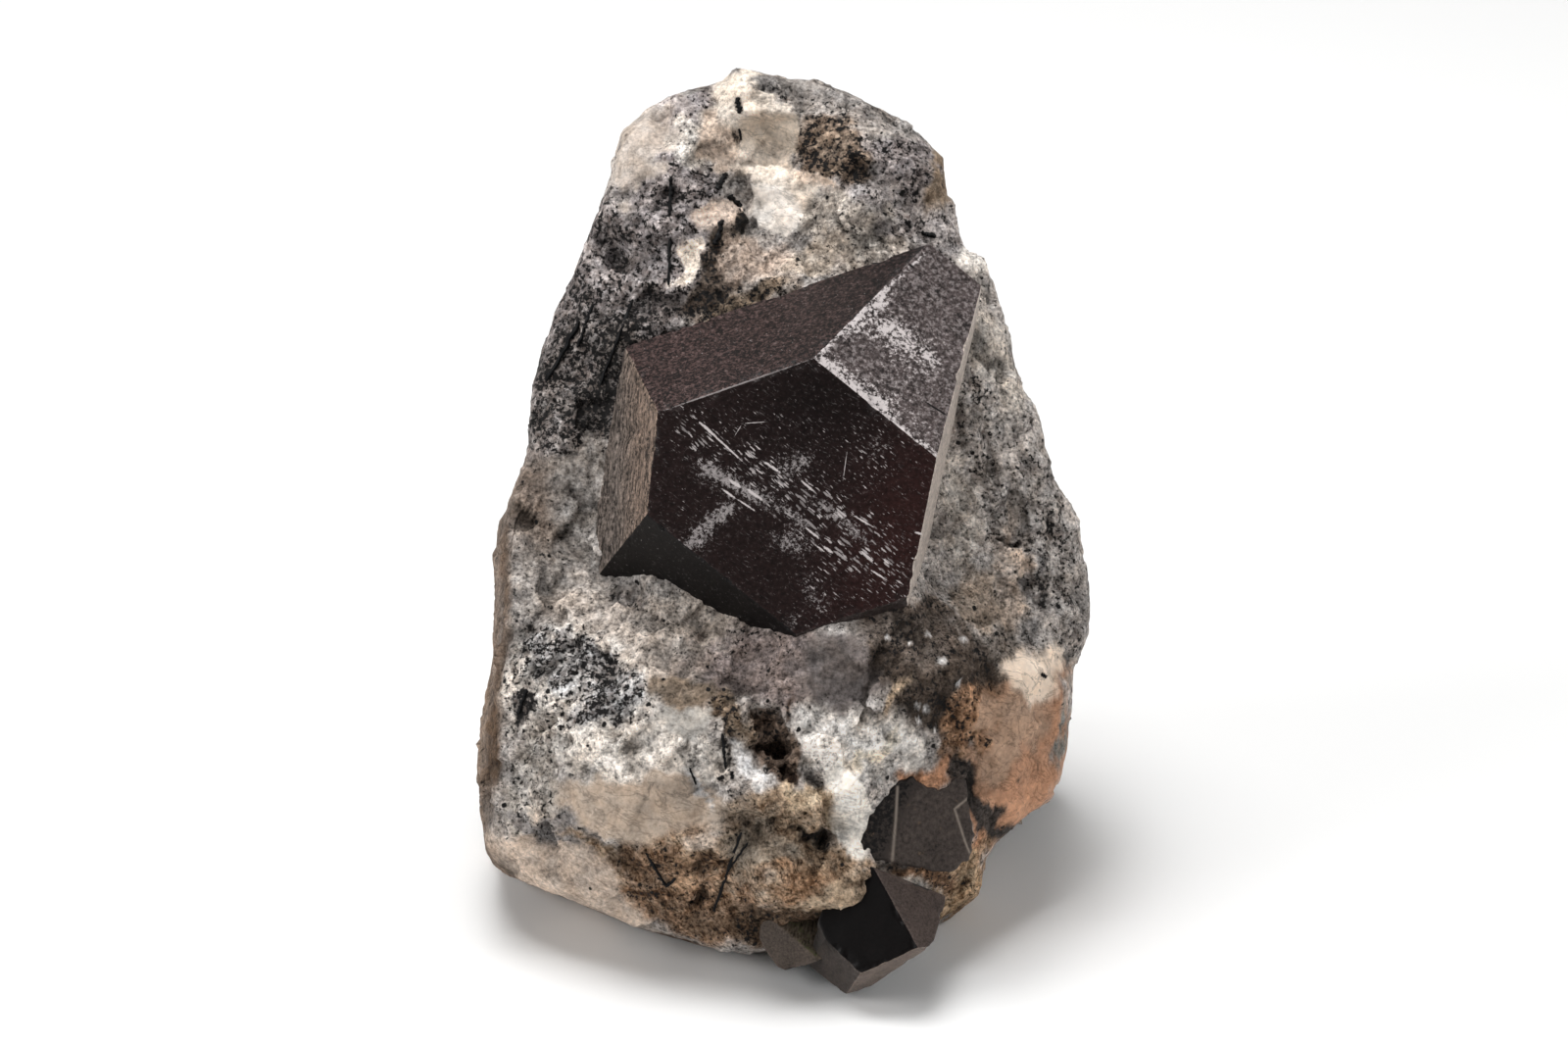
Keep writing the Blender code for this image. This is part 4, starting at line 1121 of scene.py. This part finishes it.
def face_patch(outline, ring_count):
    """One face as rings that shrink from its outline to its middle, a little closer
    near the edges: middle + (1 - step to the power RING_CROWDING) * (outline - middle)."""
    edge_points = []
    for start, end in zip(outline, np.roll(outline, -1, axis=0)):
        ordered = sorted([tuple(start), tuple(end)])
        count = max(int(np.ceil(np.linalg.norm(end - start) / EDGE_STEP)), 1)
        share = (np.arange(count + 1) / count)[:, None]
        line = np.array(ordered[0]) * (1 - share) + np.array(ordered[1]) * share
        if tuple(start) != ordered[0]:
            line = line[::-1]
        edge_points.append(line[:-1])
    loop = np.vstack(edge_points)
    middle = outline.mean(axis=0)
    step = np.linspace(0, 1, ring_count, endpoint=False)
    shrink = (1 - step**RING_CROWDING)[:, None, None]
    rings = middle + shrink * (loop - middle)
    points = np.vstack([rings.reshape(-1, 3), middle])
    count = len(loop)
    last = (ring_count - 1) * count
    columns = np.arange(count)
    fan = np.stack([last + columns, last + (columns + 1) % count, np.full(count, len(points) - 1)], axis=1)
    return points, ring_quads(ring_count, count), fan


def crystal_skin(faces):
    """All faces of a crystal as one closed skin in face coordinates: points, the
    polygons, and for each polygon's corners the number of the crystal's face."""
    normals, distances = face_planes(faces)
    all_points, polygons, owners, count = [], [], [], 0
    for number, outline in enumerate(crystal_outlines(normals, distances)):
        if outline is None:
            continue
        buried = normals[number][2] < np.cos(np.radians(MOST_SEEN_DIP))
        points, quads, fan = face_patch(outline, BURIED_RINGS if buried else FACE_RINGS)
        all_points.append(points)
        for block in (quads, fan):
            polygons.append(block + count)
            owners.append(np.full(block.shape, number))
        count += len(points)
    points = np.vstack(all_points)
    _, first, same = np.unique(np.round(points, 5), axis=0, return_index=True, return_inverse=True)
    polygons = [same.reshape(-1)[block] for block in polygons]
    return points[first], polygons, owners


def wear_edges(points, normals, distances, chip_depth, seed):
    """Rounds the edges by a smooth maximum of the distances to all faces, and breaks
    small chips from them where random numbers are high. Returns the points, the share
    that each face has in them, and how near an edge each one is, from 0 to 1."""
    beyond = points @ normals.T - distances
    share = np.exp((beyond - beyond.max(axis=1, keepdims=True)) / CORNER_ROUNDING)
    over = CORNER_ROUNDING * np.log(share.sum(axis=1)) + beyond.max(axis=1)
    share /= share.sum(axis=1, keepdims=True)
    inward = share @ normals
    length = np.linalg.norm(inward, axis=1, keepdims=True)
    second = np.sort(beyond, axis=1)[:, -2]
    near_edge = np.exp(-((second / CHIP_REACH) ** 2))
    chance = mottle(points, 1.3, seed) + 0.6 * mottle(points, 0.5, seed + 1)
    chips = chip_depth * near_edge * np.clip(chance - 0.25, 0, 1)
    worn = points - inward / length**2 * (over + chips)[:, None]
    return worn, share, np.exp(-((second / LIT_EDGE_REACH) ** 2))


def lean_back(offsets):
    """World directions of offsets given as across, up and out."""
    across, up, out = np.moveaxis(offsets, -1, 0)
    back = up * np.sin(LEAN) - out * np.cos(LEAN)
    height = up * np.cos(LEAN) + out * np.sin(LEAN)
    return np.stack([across, back, height], axis=-1)


def make_crystal(name, node, points, polygons, corner_values):
    """A crystal's piece, with colours that may differ from face to face kept on the
    corners of its polygons."""
    faces = [face for block in polygons for face in block.tolist()]
    piece = make_piece(name, points, faces, corner_values, domain="CORNER", smooth=False)
    turn_outwards(piece)
    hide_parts(node)
    return piece


normals, distances = face_planes(LARGE_CRYSTAL_FACES)
names = list(LARGE_CRYSTAL_FACES)
points, polygons, owners = crystal_skin(LARGE_CRYSTAL_FACES)
worn, share, edge_share = wear_edges(points, normals, distances, LARGE_CHIPS, 61)
across, up, out = points.T
groove_run = np.column_stack([across / 0.55, up / 7.0, out / 0.8])
flake_run = turned(across, up, out, -40.6, 4.5, 0.8, 2)
depth = {
    "front": 0.035 * mottle(flake_run, 1, 71),
    "upper": 0.04 * mottle(points, 3.0, 72) + 0.012 * mottle(points, 0.7, 73),
    "upper_right": 0.04 * mottle(points, 2.4, 74) + 0.03 * mottle(points, 0.6, 75),
    "left": 0.14 * mottle(groove_run, 1, 76) + 0.05 * mottle(points, 0.8, 77),
    "right": 0.05 * mottle(points, 2.2, 78),
    "lower_left": 0.02 * mottle(points, 4.0, 79),
}
NOTCH_ON_THE_LEFT = (-13.3, 8.2, 1.5, 0.6, 35)
depth["left"] -= 0.45 * mound(across, up, NOTCH_ON_THE_LEFT)
swell = sum(share[:, names.index(face)] * relief for face, relief in depth.items())
worn += (share @ normals) * swell[:, None]

# Painted light: each face's tone holds the light that falls on it as well as the crystal's own colour, so
# the right face is painted pale and the lower left one almost black.
FACE_TONES = {
    "front": (0.0145, 0.008, 0.0075),
    "upper": (0.0285, 0.0172, 0.0158),
    "upper_right": (0.078, 0.0605, 0.0585),
    "right": (0.50, 0.43, 0.38),
    "lower_right": (0.03, 0.022, 0.02),
    "lower_left": (0.004, 0.003, 0.003),
    "left": (0.14, 0.10, 0.077),
}
OTHER_TONE = (0.03, 0.022, 0.02)
REDDISH = (1.7, 1.15, 1.1)

# Ovals on the front where flakes are thick, and where white bloom lies. Each has its
# place (across, up, half-length, half-width, turn) and its strength.
FLAKE_OVALS = (
    ((-3.0, 4.6, 7.0, 2.0, -38), 0.75),
    ((-8.6, 7.2, 3.0, 1.6, -42), 0.5),
    ((3.8, 0.6, 5.5, 2.4, -34), 0.95),
    ((8.2, -3.2, 4.6, 2.8, -36), 0.8),
    ((8.0, 5.6, 3.6, 3.4, -30), 0.4),
    ((3.4, -5.8, 3.6, 2.0, -64), 0.45),
    ((-1.0, 8.6, 8.0, 2.2, -14), 0.3),
    ((-7.8, 0.6, 2.4, 2.4, 0), 0.25),
)
BLOOM_OVALS = (
    ((-6.3, 4.4, 1.5, 0.9, -45), 1.0),
    ((-4.2, 3.3, 1.9, 0.6, -34), 0.9),
    ((-1.9, 2.2, 1.9, 0.6, -38), 0.8),
    ((0.4, 4.7, 1.5, 1.0, 40), 0.75),
    ((1.7, 5.4, 0.7, 0.5, 30), 0.8),
    ((-6.5, -0.2, 1.9, 0.7, 48), 1.0),
    ((-7.6, -1.4, 1.0, 0.8, 60), 0.9),
    ((-4.9, 1.2, 1.3, 0.6, 44), 0.9),
    ((-9.0, -1.9, 0.5, 0.45, 0), 1.0),
    ((0.4, -1.7, 1.5, 0.8, -16), 1.0),
    ((0.9, 0.6, 2.0, 0.55, -38), 0.8),
    ((4.2, 0.9, 2.2, 0.6, -36), 0.85),
    ((6.4, -1.0, 1.6, 0.5, -40), 0.6),
    ((8.0, 6.4, 1.2, 0.7, 40), 0.4),
    ((2.6, -6.2, 1.9, 0.8, -64), 0.5),
    ((0.8, -8.4, 1.0, 0.6, 60), 0.4),
)

# Frosted lines: from one place to another, how wide, and how strong.
FROST_LINES = (
    ((2.6, 14.3), (13.2, 5.7), 0.5, 0.8),
    ((3.2, 14.2), (8.5, 9.8), 1.3, 0.7),
    ((2.6, 14.3), (8.8, 20.4), 0.32, 0.8),
    ((8.8, 20.4), (12.6, 24.0), 0.22, 0.7),
)
FROST_OVALS = (
    ((10.6, 15.9, 2.6, 1.5, -38), 0.62),
    ((13.0, 14.5, 0.8, 0.5, -38), 0.6),
    ((8.6, 17.0, 2.0, 1.2, 10), 0.5),
    ((6.3, 17.0, 1.3, 0.8, 45), 0.75),
    ((8.4, 19.3, 1.5, 0.8, 45), 0.7),
    ((12.0, 8.6, 1.6, 0.8, -38), 0.35),
    ((11.5, 13.5, 5.0, 4.0, 45), 0.3),
)


def mounds(across, up, places):
    """The sum of the mounds on all places, each times its own strength."""
    return sum(strength * mound(across, up, place) for place, strength in places)


def on_corners(names, owners, values, fallback):
    """For every corner of every polygon, the value of the crystal's face that it is in."""
    table = np.array([values.get(face, fallback) for face in names], float)
    return table[owners]


flakes = mounds(across, up, FLAKE_OVALS)
bloom = mounds(across, up, BLOOM_OVALS)
frost = sum(
    strength * np.exp(-((line_distance(across, up, start, end) / width) ** 2))
    for start, end, width, strength in FROST_LINES
)
frost = frost + mounds(across, up, FROST_OVALS)
corner_points = np.concatenate([block.reshape(-1) for block in polygons])
owners = np.concatenate([block.reshape(-1) for block in owners])
on_front = on_corners(names, owners, {"front": 1}, 0)
on_frosted = on_corners(names, owners, {"upper_right": 1}, 0)
on_upper = on_corners(names, owners, {"upper": 1}, 0)
on_left = on_corners(names, owners, {"left": 1}, 0)
to_the_right = np.clip((across + 14) / 26, 0, 1)[corner_points]
reddish = on_front * mound(across, up, (10.0, -1.0, 5.0, 12.0, -20))[corner_points]
greyer = on_left * np.clip((-12.6 - across) / 2.2, 0, 1)[corner_points]
tones = on_corners(names, owners, FACE_TONES, OTHER_TONE)
tones = tones * (1 + on_upper * (0.25 - 0.85 * to_the_right**1.6))[:, None]
tones = tones * (1 + reddish[:, None] * (np.array(REDDISH) - 1))
darker = on_front * mound(across, up, (4.0, 11.0, 7.0, 4.5, 0))[corner_points]
tones = tones * (1 - 0.5 * darker)[:, None]
tones = tones * (1 - greyer[:, None] * (0.25, 0.15, 0.05))
marks = np.column_stack([
    on_front * np.minimum(flakes, 1)[corner_points],
    on_front * np.minimum(bloom, 1)[corner_points],
    on_left,
])
# The third mark is how near an edge each corner is, which carries the painted edge highlight.
more_marks = np.column_stack([
    on_frosted,
    on_frosted * np.minimum(frost, 1)[corner_points],
    edge_share[corner_points],
])
face_kind = np.column_stack([on_front, on_upper + 0.25 * on_frosted + 0.4 * on_left, 0 * on_front])
large = make_crystal(
    "brown_lorenzenite",
    "large_crystal",
    lean_back(worn) + FACE_CENTRE,
    polygons,
    {"face_tone": tones, "face_marks": marks, "more_marks": more_marks, "face_kind": face_kind},
)

# Single scratches, flakes and cracks: across, up, half-length, half-width, turn.
WHITE_STROKES = (
    (-5.3, 6.9, 2.75, 0.09, -42.6),
    (-6.6, 8.1, 1.1, 0.13, -42),
    (-1.05, 4.85, 0.95, 0.13, -34),
    (2.05, 3.2, 0.8, 0.11, -40),
    (-4.8, 2.55, 0.75, 0.11, -36),
    (-4.2, 3.4, 0.8, 0.17, -33),
    (-2.6, 2.5, 1.0, 0.15, -36),
    (-3.2, 1.5, 0.9, 0.09, -34),
    (2.5, -0.9, 0.9, 0.1, -38),
    (3.8, -2.3, 0.5, 0.14, -35),
    (6.8, 0.2, 1.1, 0.09, -30),
    (8.2, -4.5, 0.9, 0.09, -32),
    (11.7, -0.9, 0.4, 0.11, -15),
    (-2.5, 8.7, 1.1, 0.035, 4),
    (-4.0, 8.0, 0.6, 0.035, 58),
    (5.3, 5.0, 1.2, 0.03, 82),
)
# A painted highlight: a thin pale line along the edge between the front and the upper face.
EDGE_HIGHLIGHTS = (
    (-4.1, 11.95, 7.0, 0.08, 19.1),
)
DARK_CRACKS = (
    (13.3, 9.95, 1.3, 0.09, -32),
    (11.3, 22.75, 0.35, 0.12, -40),
)


def strokes(across, up, ragged, places):
    """How much of a stroke lies at each point: an oval round its middle with its rim
    broken up by ragged noise. The strongest of all strokes counts."""
    total = None
    for left, low, length, width, turn in places:
        cosine, sine = np.cos(np.radians(turn)), np.sin(np.radians(turn))
        along = (across - left) * (cosine / length) + (up - low) * (sine / length)
        beside = (up - low) * (cosine / width) - (across - left) * (sine / width)
        share = ((1.1 - along * along - beside * beside + 3.4 * (ragged - 0.5)) * 1.6).clipped()
        total = share if total is None else total.most(share)
    return total


def growth_flakes(finish, place, turn, sizes, share, ragged):
    """Short bars that all lie along one direction. Each cell of a stretched flat grid
    holds one oval round its centre, with a random radius that grows with share, and a
    random brightness."""
    grid = finish.stretched(place, turn, sizes)
    distance, chance, brightness, _ = finish.grains(grid, 1, "2D")
    radius = share * (0.62 * chance - 0.17)
    return ((radius - distance + 0.75 * (ragged - 0.5)) * 9).clipped() * (0.25 + 0.75 * brightness)


FLAKE_TURN = -38
SCRATCH_WHITE = (0.76, 0.695, 0.685)
CRACK_BLACK = (0.004, 0.003, 0.003)
brown_crystal = Finish("lorenzenite_faces", specular_ior_level=0.16)
place = brown_crystal.place()
parts = brown_crystal.node("ShaderNodeSeparateXYZ", {}, {"Vector": place})
across, up = [Value(brown_crystal, parts.socket.node.outputs[number]) for number in range(2)]
tone = brown_crystal.attribute("face_tone", "Color")
flake_share, bloom_share, striated = brown_crystal.channels(brown_crystal.attribute("face_marks", "Color"))
frosted, frost_share, lit_edges = brown_crystal.channels(brown_crystal.attribute("more_marks", "Color"))
on_front, grained, _ = brown_crystal.channels(brown_crystal.attribute("face_kind", "Color"))
fine = brown_crystal.noise(place, 0.20, 4, 0.7)
coarse = brown_crystal.noise(place, 0.42, 3, 0.72)
middling = brown_crystal.noise(place, 1.1, 3, 0.6)
cloud = brown_crystal.noise(place, 3.2, 3, 0.6)
ragged = brown_crystal.noise(place, 0.3, 4, 0.72)
bent = brown_crystal.bent(place, 2.5, 0.25)
patchy = flake_share * (0.15 + 1.7 * brown_crystal.noise(place, 1.8, 2, 0.5))
long_bars = growth_flakes(brown_crystal, bent, FLAKE_TURN, (1.9, 0.32, 1), patchy, ragged)
short_bars = growth_flakes(brown_crystal, bent, FLAKE_TURN - 6, (1.0, 0.23, 1), patchy, ragged)
hair_place = brown_crystal.stretched(bent, FLAKE_TURN + 6, (0.8, 0.17, 0.5))
hairs = ((brown_crystal.noise(hair_place, 1.0, 3, 0.6) - 0.61) * 8).clipped() * on_front
dust_share = 0.19 * bloom_share + 0.3 * (middling - 0.5) + 0.25 * (ragged - 0.5)
dust = ((brown_crystal.noise(place, 0.36, 4, 0.78) - 0.61 + dust_share) * 9).clipped()
dust = dust * (bloom_share * 5).clipped() * (0.15 + 0.85 * coarse)
single = strokes(across, up, ragged, WHITE_STROKES) * (1 - frosted)
cracks = strokes(across, up, ragged, DARK_CRACKS) * frosted
edge_highlight = strokes(across, up, ragged, EDGE_HIGHLIGHTS) * (1 - frosted)
grit = 0.45 * coarse + 0.55 * ragged
clumped = frost_share * (0.2 + 1.6 * middling)
frosting = ((grit - 0.61 + 0.19 * clumped) * 13).clipped() * (frost_share * 5).clipped()
speckle = ((coarse - 0.50) * 9).clipped()
stripe_place = brown_crystal.stretched(brown_crystal.bent(place, 1.6, 0.3), 84, (2.2, 0.2, 0.4))
stripes = brown_crystal.noise(stripe_place, 1.0, 4, 0.7)
shade = 0.98 + 2.4 * (ragged - 0.5) + (1.6 + 7.5 * grained) * (coarse - 0.5) + 0.9 * (middling - 0.5)
shade = shade + 10 * grained * (fine - 0.5)
shade = shade + (0.5 + 0.7 * frosted) * (cloud - 0.5) + striated * 6.5 * (stripes - 0.5)
# Painted highlight: every face is made paler along its edges.
shade = shade + 1.8 * lit_edges * (ragged - 0.35)
mottled = brown_crystal.scaled(tone, shade.most(0.15))
specks = ((coarse - 0.60) * 12).clipped() * (0.05 + 0.13 * frosted)
white_share = (long_bars * 0.9).most(short_bars * 0.75).most(dust * 0.75)
white_share = white_share.most(single * 0.85).most(hairs * 0.13).most(edge_highlight * 0.3)
white_share = white_share.most(frosting * 0.85).most(speckle * frosted * 0.2).most(specks)
whitened = brown_crystal.mix(white_share, mottled, SCRATCH_WHITE)
brown_crystal.set("Base Color", brown_crystal.mix(cracks, whitened, CRACK_BLACK))
brown_crystal.set("Roughness", 0.34 + 0.25 * fine + 0.3 * white_share + 0.15 * striated)
surface = 0.3 * fine + 0.3 * coarse + 0.45 * white_share + 0.9 * striated * stripes - 0.6 * cracks
brown_crystal.set("Normal", brown_crystal.bump(surface, 0.5, 0.08))
brown_crystal.cover(large)

# The two small black crystals.
# Lorenzenite again, grown through each other at the foot of the stone, smooth and
# almost black, with a brownish striated band where they meet.
SMALL_CRYSTALS = {
    "right": ((8.5, -35.2, -3.0), {
        "front": (147.2, 19.1, 3.88),
        "upper_right": (45.2, 48.3, 4.43),
        "underside": (291.3, 67.2, 4.01),
        "lower_left": (214.5, 58.9, 5.27),
        "left": (194.5, 64.9, 5.7),
        "top": (69, 95, 4.7),
        "right_side": (352, 98, 5.05),
        "right_corner": (333, 97, 3.79),
        "lower_right": (312, 97, 3.05),
        "lowest": (282, 99, 4.85),
        "foot": (238, 98, 6.42),
        "base": (270, 115, 4.9),
        "left_side": (159, 102, 5.0),
        "back": (0, 180, 6.0),
    }),
    "left": ((0.4, -36.0, -4.5), {
        "front": (207.0, 24.5, 1.38),
        "striated": (65.7, 33.9, 1.66),
        "upper_left": (150, 98, 3.02),
        "left": (193, 98, 2.5),
        "lower_left": (216, 98, 2.16),
        "foot": (243, 98, 2.57),
        "foot_right": (293, 97, 2.4),
        "base": (270, 115, 3.5),
        "right": (330, 80, 4.6),
        "back": (0, 180, 4.0),
    }),
}
# Painted light: these tones hold the light on each face besides the crystals' own near-black, and the
# underside of the right crystal is painted pale brown for the light thrown up from the floor.
SMALL_TONES = {
    "right": {
        "front": (0.0025, 0.0016, 0.0016),
        "upper_right": (0.06, 0.044, 0.038),
        "underside": (0.155, 0.12, 0.10),
        "lower_left": (0.052, 0.042, 0.037),
        "left": (0.03, 0.026, 0.024),
    },
    "left": {
        "front": (0.085, 0.066, 0.054),
        "striated": (0.10, 0.08, 0.06),
    },
}
SMALL_OTHER_TONE = (0.02, 0.018, 0.017)
SMALL_CHIPS = 0.2
GREENISH = (0.10, 0.11, 0.05)
DUST = (0.30, 0.27, 0.25)

joined_points, joined_polygons, joined_tones, joined_marks, count = [], [], [], [], 0
for side, (middle, faces) in SMALL_CRYSTALS.items():
    normals, distances = face_planes(faces)
    points, polygons, owners = crystal_skin(faces)
    worn, share, edge_share = wear_edges(points, normals, distances, SMALL_CHIPS, 81)
    names = list(faces)
    worn += (share @ normals) * (0.02 * mottle(points, 1.6, 82))[:, None]
    joined_points.append(lean_back(worn) + to_world(middle))
    joined_polygons += [block + count for block in polygons]
    owners = np.concatenate([block.reshape(-1) for block in owners])
    corner_points = np.concatenate([block.reshape(-1) for block in polygons])
    tones = on_corners(names, owners, SMALL_TONES[side], SMALL_OTHER_TONE)
    near_the_rock = np.clip((points[:, 1] + 2.2) / 1.5, 0, 1)[corner_points]
    shaded = on_corners(names, owners, {"lower_left": 1}, 0) * near_the_rock
    joined_tones.append(tones * (1 - 0.85 * shaded)[:, None])
    joined_marks.append(np.column_stack([
        on_corners(names, owners, {"striated": 1}, 0),
        edge_share[corner_points],
        np.zeros(len(owners)),
    ]))
    count += len(points)
small = make_crystal(
    "black_lorenzenite",
    "small_crystals",
    np.vstack(joined_points),
    joined_polygons,
    {"face_tone": np.vstack(joined_tones), "face_marks": np.vstack(joined_marks)},
)
black_crystal = Finish("black_lorenzenite_faces", specular_ior_level=0.15)
place = black_crystal.place()
tone = black_crystal.attribute("face_tone", "Color")
banded, lit_edges, _ = black_crystal.channels(black_crystal.attribute("face_marks", "Color"))
fine = black_crystal.noise(place, 0.2, 4, 0.7)
middling = black_crystal.noise(place, 1.2, 4, 0.65)
bands = black_crystal.noise(black_crystal.stretched(place, 80, (1.6, 0.22, 0.5)), 1.0, 4, 0.7)
dust = ((black_crystal.noise(place, 0.3, 5, 0.78) - 0.73 + 0.12 * lit_edges) * 12).clipped()
shade = 0.98 + 2.6 * (fine - 0.5) + 1.2 * (middling - 0.5) + 4.5 * banded * (bands - 0.5)
# Painted highlight: the faces are made paler along their edges.
shade = shade + 0.7 * lit_edges * fine
mottled = black_crystal.scaled(tone, shade.most(0.12))
tinged = black_crystal.mix(banded * ((middling - 0.5) * 8).clipped(), mottled, GREENISH)
black_crystal.set("Base Color", black_crystal.mix(dust * 0.55, tinged, DUST))
black_crystal.set("Roughness", 0.26 + 0.25 * fine + 0.3 * dust)
black_crystal.set("Normal", black_crystal.bump(fine * 0.4 + banded * bands, 0.35, 0.06))
black_crystal.cover(small)

# The flat crystal.
# Another lorenzenite, split level with the rock: a dull dark section with a ragged
# granular left edge, crossed by thin pale veins.
FLAT_OUTLINE = np.array([
    (9.9, -22.2), (11.2, -22.0), (12.1, -22.7), (13.3, -23.2), (14.6, -22.7), (15.1, -21.8),
    (15.9, -22.4), (16.0, -24.2), (16.3, -26.0), (16.5, -27.4), (16.1, -29.2), (14.4, -30.2),
    (12.7, -30.2), (11.6, -29.9), (9.9, -29.7), (7.9, -29.2), (6.8, -28.8), (6.6, -27.8),
    (7.3, -26.2), (7.9, -24.6), (9.3, -22.9),
])
FLAT_THICKNESS = 2.6
FLAT_COLUMNS = 260
FLAT_RINGS = 40
FLAT_SIDE_RINGS = 6
SECTION_DARK = (0.016, 0.012, 0.011)
SECTION_PALE = (0.10, 0.078, 0.067)
RAGGED_BLACK = (0.004, 0.003, 0.003)
SECTION_SPECKS = (0.30, 0.26, 0.23)
SECTION_RUST = (0.22, 0.14, 0.08)
VEIN_PALE = (0.36, 0.30, 0.25)

# Each vein: from one place to another, and how wide.
VEINS = {
    "upright vein": ((9.85, -22.9), (9.7, -25.7), 0.11),
    "upright vein lower": ((9.7, -25.7), (9.35, -29.7), 0.10),
    "bent vein upper": ((15.9, -23.9), (14.8, -24.8), 0.09),
    "bent vein lower": ((14.8, -24.8), (15.7, -27.6), 0.09),
    "bent vein foot": ((15.7, -27.6), (16.1, -28.6), 0.08),
}


def flat_skin():
    """Rings from the middle to the ragged outline, level with the crystal's top, then
    straight down the side to a lower ring."""
    loop = even_loop(FLAT_OUTLINE, FLAT_COLUMNS)
    rough = np.column_stack([loop, np.zeros(len(loop))])
    loop = loop + 0.16 * np.column_stack([mottle(rough, 0.5, 91), mottle(rough, 0.5, 92)])
    middle = FLAT_OUTLINE.mean(axis=0)
    step = np.concatenate([np.linspace(0.02, 1, FLAT_RINGS), np.ones(FLAT_SIDE_RINGS)])
    flat = middle + step[:, None, None] * (loop - middle)
    down = np.concatenate([np.zeros(FLAT_RINGS), np.linspace(0.1, 1, FLAT_SIDE_RINGS)])
    top = flat_crystal_level(flat[..., 0])
    place = np.concatenate([flat, np.zeros(flat.shape[:2] + (1,))], axis=-1).reshape(-1, 3)
    bumps = (0.07 * mottle(place, 1.8, 93) + 0.04 * mottle(place, 0.6, 94)).reshape(top.shape)
    worn_rim = 0.25 * np.clip((step - 0.94) / 0.06, 0, 1)[:, None] ** 2
    out = top + bumps * (down[:, None] == 0) - worn_rim - FLAT_THICKNESS * down[:, None]
    return np.concatenate([flat, out[..., None]], axis=-1)


flat_rings = flat_skin()
across, up, _ = np.moveaxis(flat_rings.reshape(-1, 3), -1, 0)
vein = np.max([
    np.exp(-((line_distance(across, up, start, end) / width) ** 2)) for start, end, width in VEINS.values()
], axis=0)
ragged = np.clip(1.3 - (across - 7.2 - 0.42 * (up + 28)) / 1.9, 0, 1)
ends = flat_rings[[0, -1]].mean(axis=1)
flat_piece = make_piece(
    "flat_lorenzenite",
    to_world(np.vstack([flat_rings.reshape(-1, 3), ends])),
    skin_faces(len(flat_rings), FLAT_COLUMNS),
    {"vein": np.append(vein, [0, 0]), "raggedness": np.append(ragged, [0, 0])},
)
turn_outwards(flat_piece)
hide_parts("embedded_crystal")
flat_crystal = Finish("split_lorenzenite", specular_ior_level=0.18)
place = flat_crystal.place()
vein = flat_crystal.attribute("vein")
ragged = flat_crystal.attribute("raggedness")
fine = flat_crystal.noise(place, 0.35, 5, 0.7)
cloud = flat_crystal.noise(place, 1.8, 3, 0.6)
rusty = ((flat_crystal.noise(place, 1.1, 4, 0.65) - 0.64) * 7).clipped()
paleness = (0.5 + 2.2 * (fine - 0.5) + 0.8 * (cloud - 0.5)).clipped()
tint = flat_crystal.mix(paleness, SECTION_DARK, SECTION_PALE)
tint = flat_crystal.mix(((fine - 0.39) * 9 * ragged).clipped(), tint, RAGGED_BLACK)
pale = ((flat_crystal.noise(place, 0.3, 4, 0.75) - 0.69) * 12).clipped()
tint = flat_crystal.mix(pale * 0.6, tint, SECTION_SPECKS)
tint = flat_crystal.mix(rusty * 0.6, tint, SECTION_RUST)
tint = flat_crystal.mix(vein * (0.45 + 0.6 * fine), tint, VEIN_PALE)
flat_crystal.set("Base Color", tint)
flat_crystal.set("Roughness", 0.5 + 0.25 * fine)
flat_crystal.set("Normal", flat_crystal.bump(fine, 0.6, 0.08))
flat_crystal.cover(flat_piece)

# The floor, the lights and the camera.
# A pale studio table with broad soft lights, seen from where the picture was taken.
FLOOR_SIZE = 1.6
WORLD_STRENGTH = 0.15
LENS_LENGTH = 100
SENSOR_WIDTH = 36
NEAREST_SEEN = 0.01

# Square lamps that face the crystal: place and size in metres, and power.
LAMPS = {
    "top_light": ((-0.1, 0.12, 0.7), 0.4, 4.4),
    "left_light": ((-0.6, -0.2, 0.35), 0.35, 2.1),
    "right_light": ((0.6, -0.1, 0.45), 0.35, 1.5),
}

floor_mesh = bpy.data.meshes.new("studio_floor")
half = FLOOR_SIZE / 2
floor_corners = [(-half, -half, 0), (half, -half, 0), (half, half, 0), (-half, half, 0)]
floor_mesh.from_pydata(floor_corners, [], [(0, 1, 2, 3)])
floor = bpy.data.objects.new("studio_floor", floor_mesh)
bpy.context.collection.objects.link(floor)
paper = Finish("pale_paper", base_color=(0.93, 0.93, 0.925, 1), roughness=0.9)
paper.cover(floor)

for name, (location, size, power) in LAMPS.items():
    lamp = bpy.data.lights.new(name, "AREA")
    lamp.size = size
    lamp.energy = power
    light = bpy.data.objects.new(name, lamp)
    light.location = location
    light.rotation_euler = (Vector(FACE_CENTRE * MM) - Vector(location)).to_track_quat("-Z", "Y").to_euler()
    bpy.context.collection.objects.link(light)

world = bpy.data.worlds.new("studio")
world.use_nodes = True
world.node_tree.nodes["Background"].inputs["Color"].default_value = (1, 1, 1, 1)
world.node_tree.nodes["Background"].inputs["Strength"].default_value = WORLD_STRENGTH
bpy.context.scene.world = world
bpy.context.scene.view_settings.view_transform = "Standard"

lens = bpy.data.cameras.new("camera")
lens.lens = LENS_LENGTH
lens.sensor_width = SENSOR_WIDTH
lens.clip_start = NEAREST_SEEN
camera = bpy.data.objects.new("camera", lens)
camera.location = (FACE_CENTRE + np.array([0, -np.cos(LEAN), np.sin(LEAN)]) * VIEW_DISTANCE) * MM
camera.rotation_euler = (np.pi / 2 - LEAN, 0, 0)
bpy.context.collection.objects.link(camera)
bpy.context.scene.camera = camera
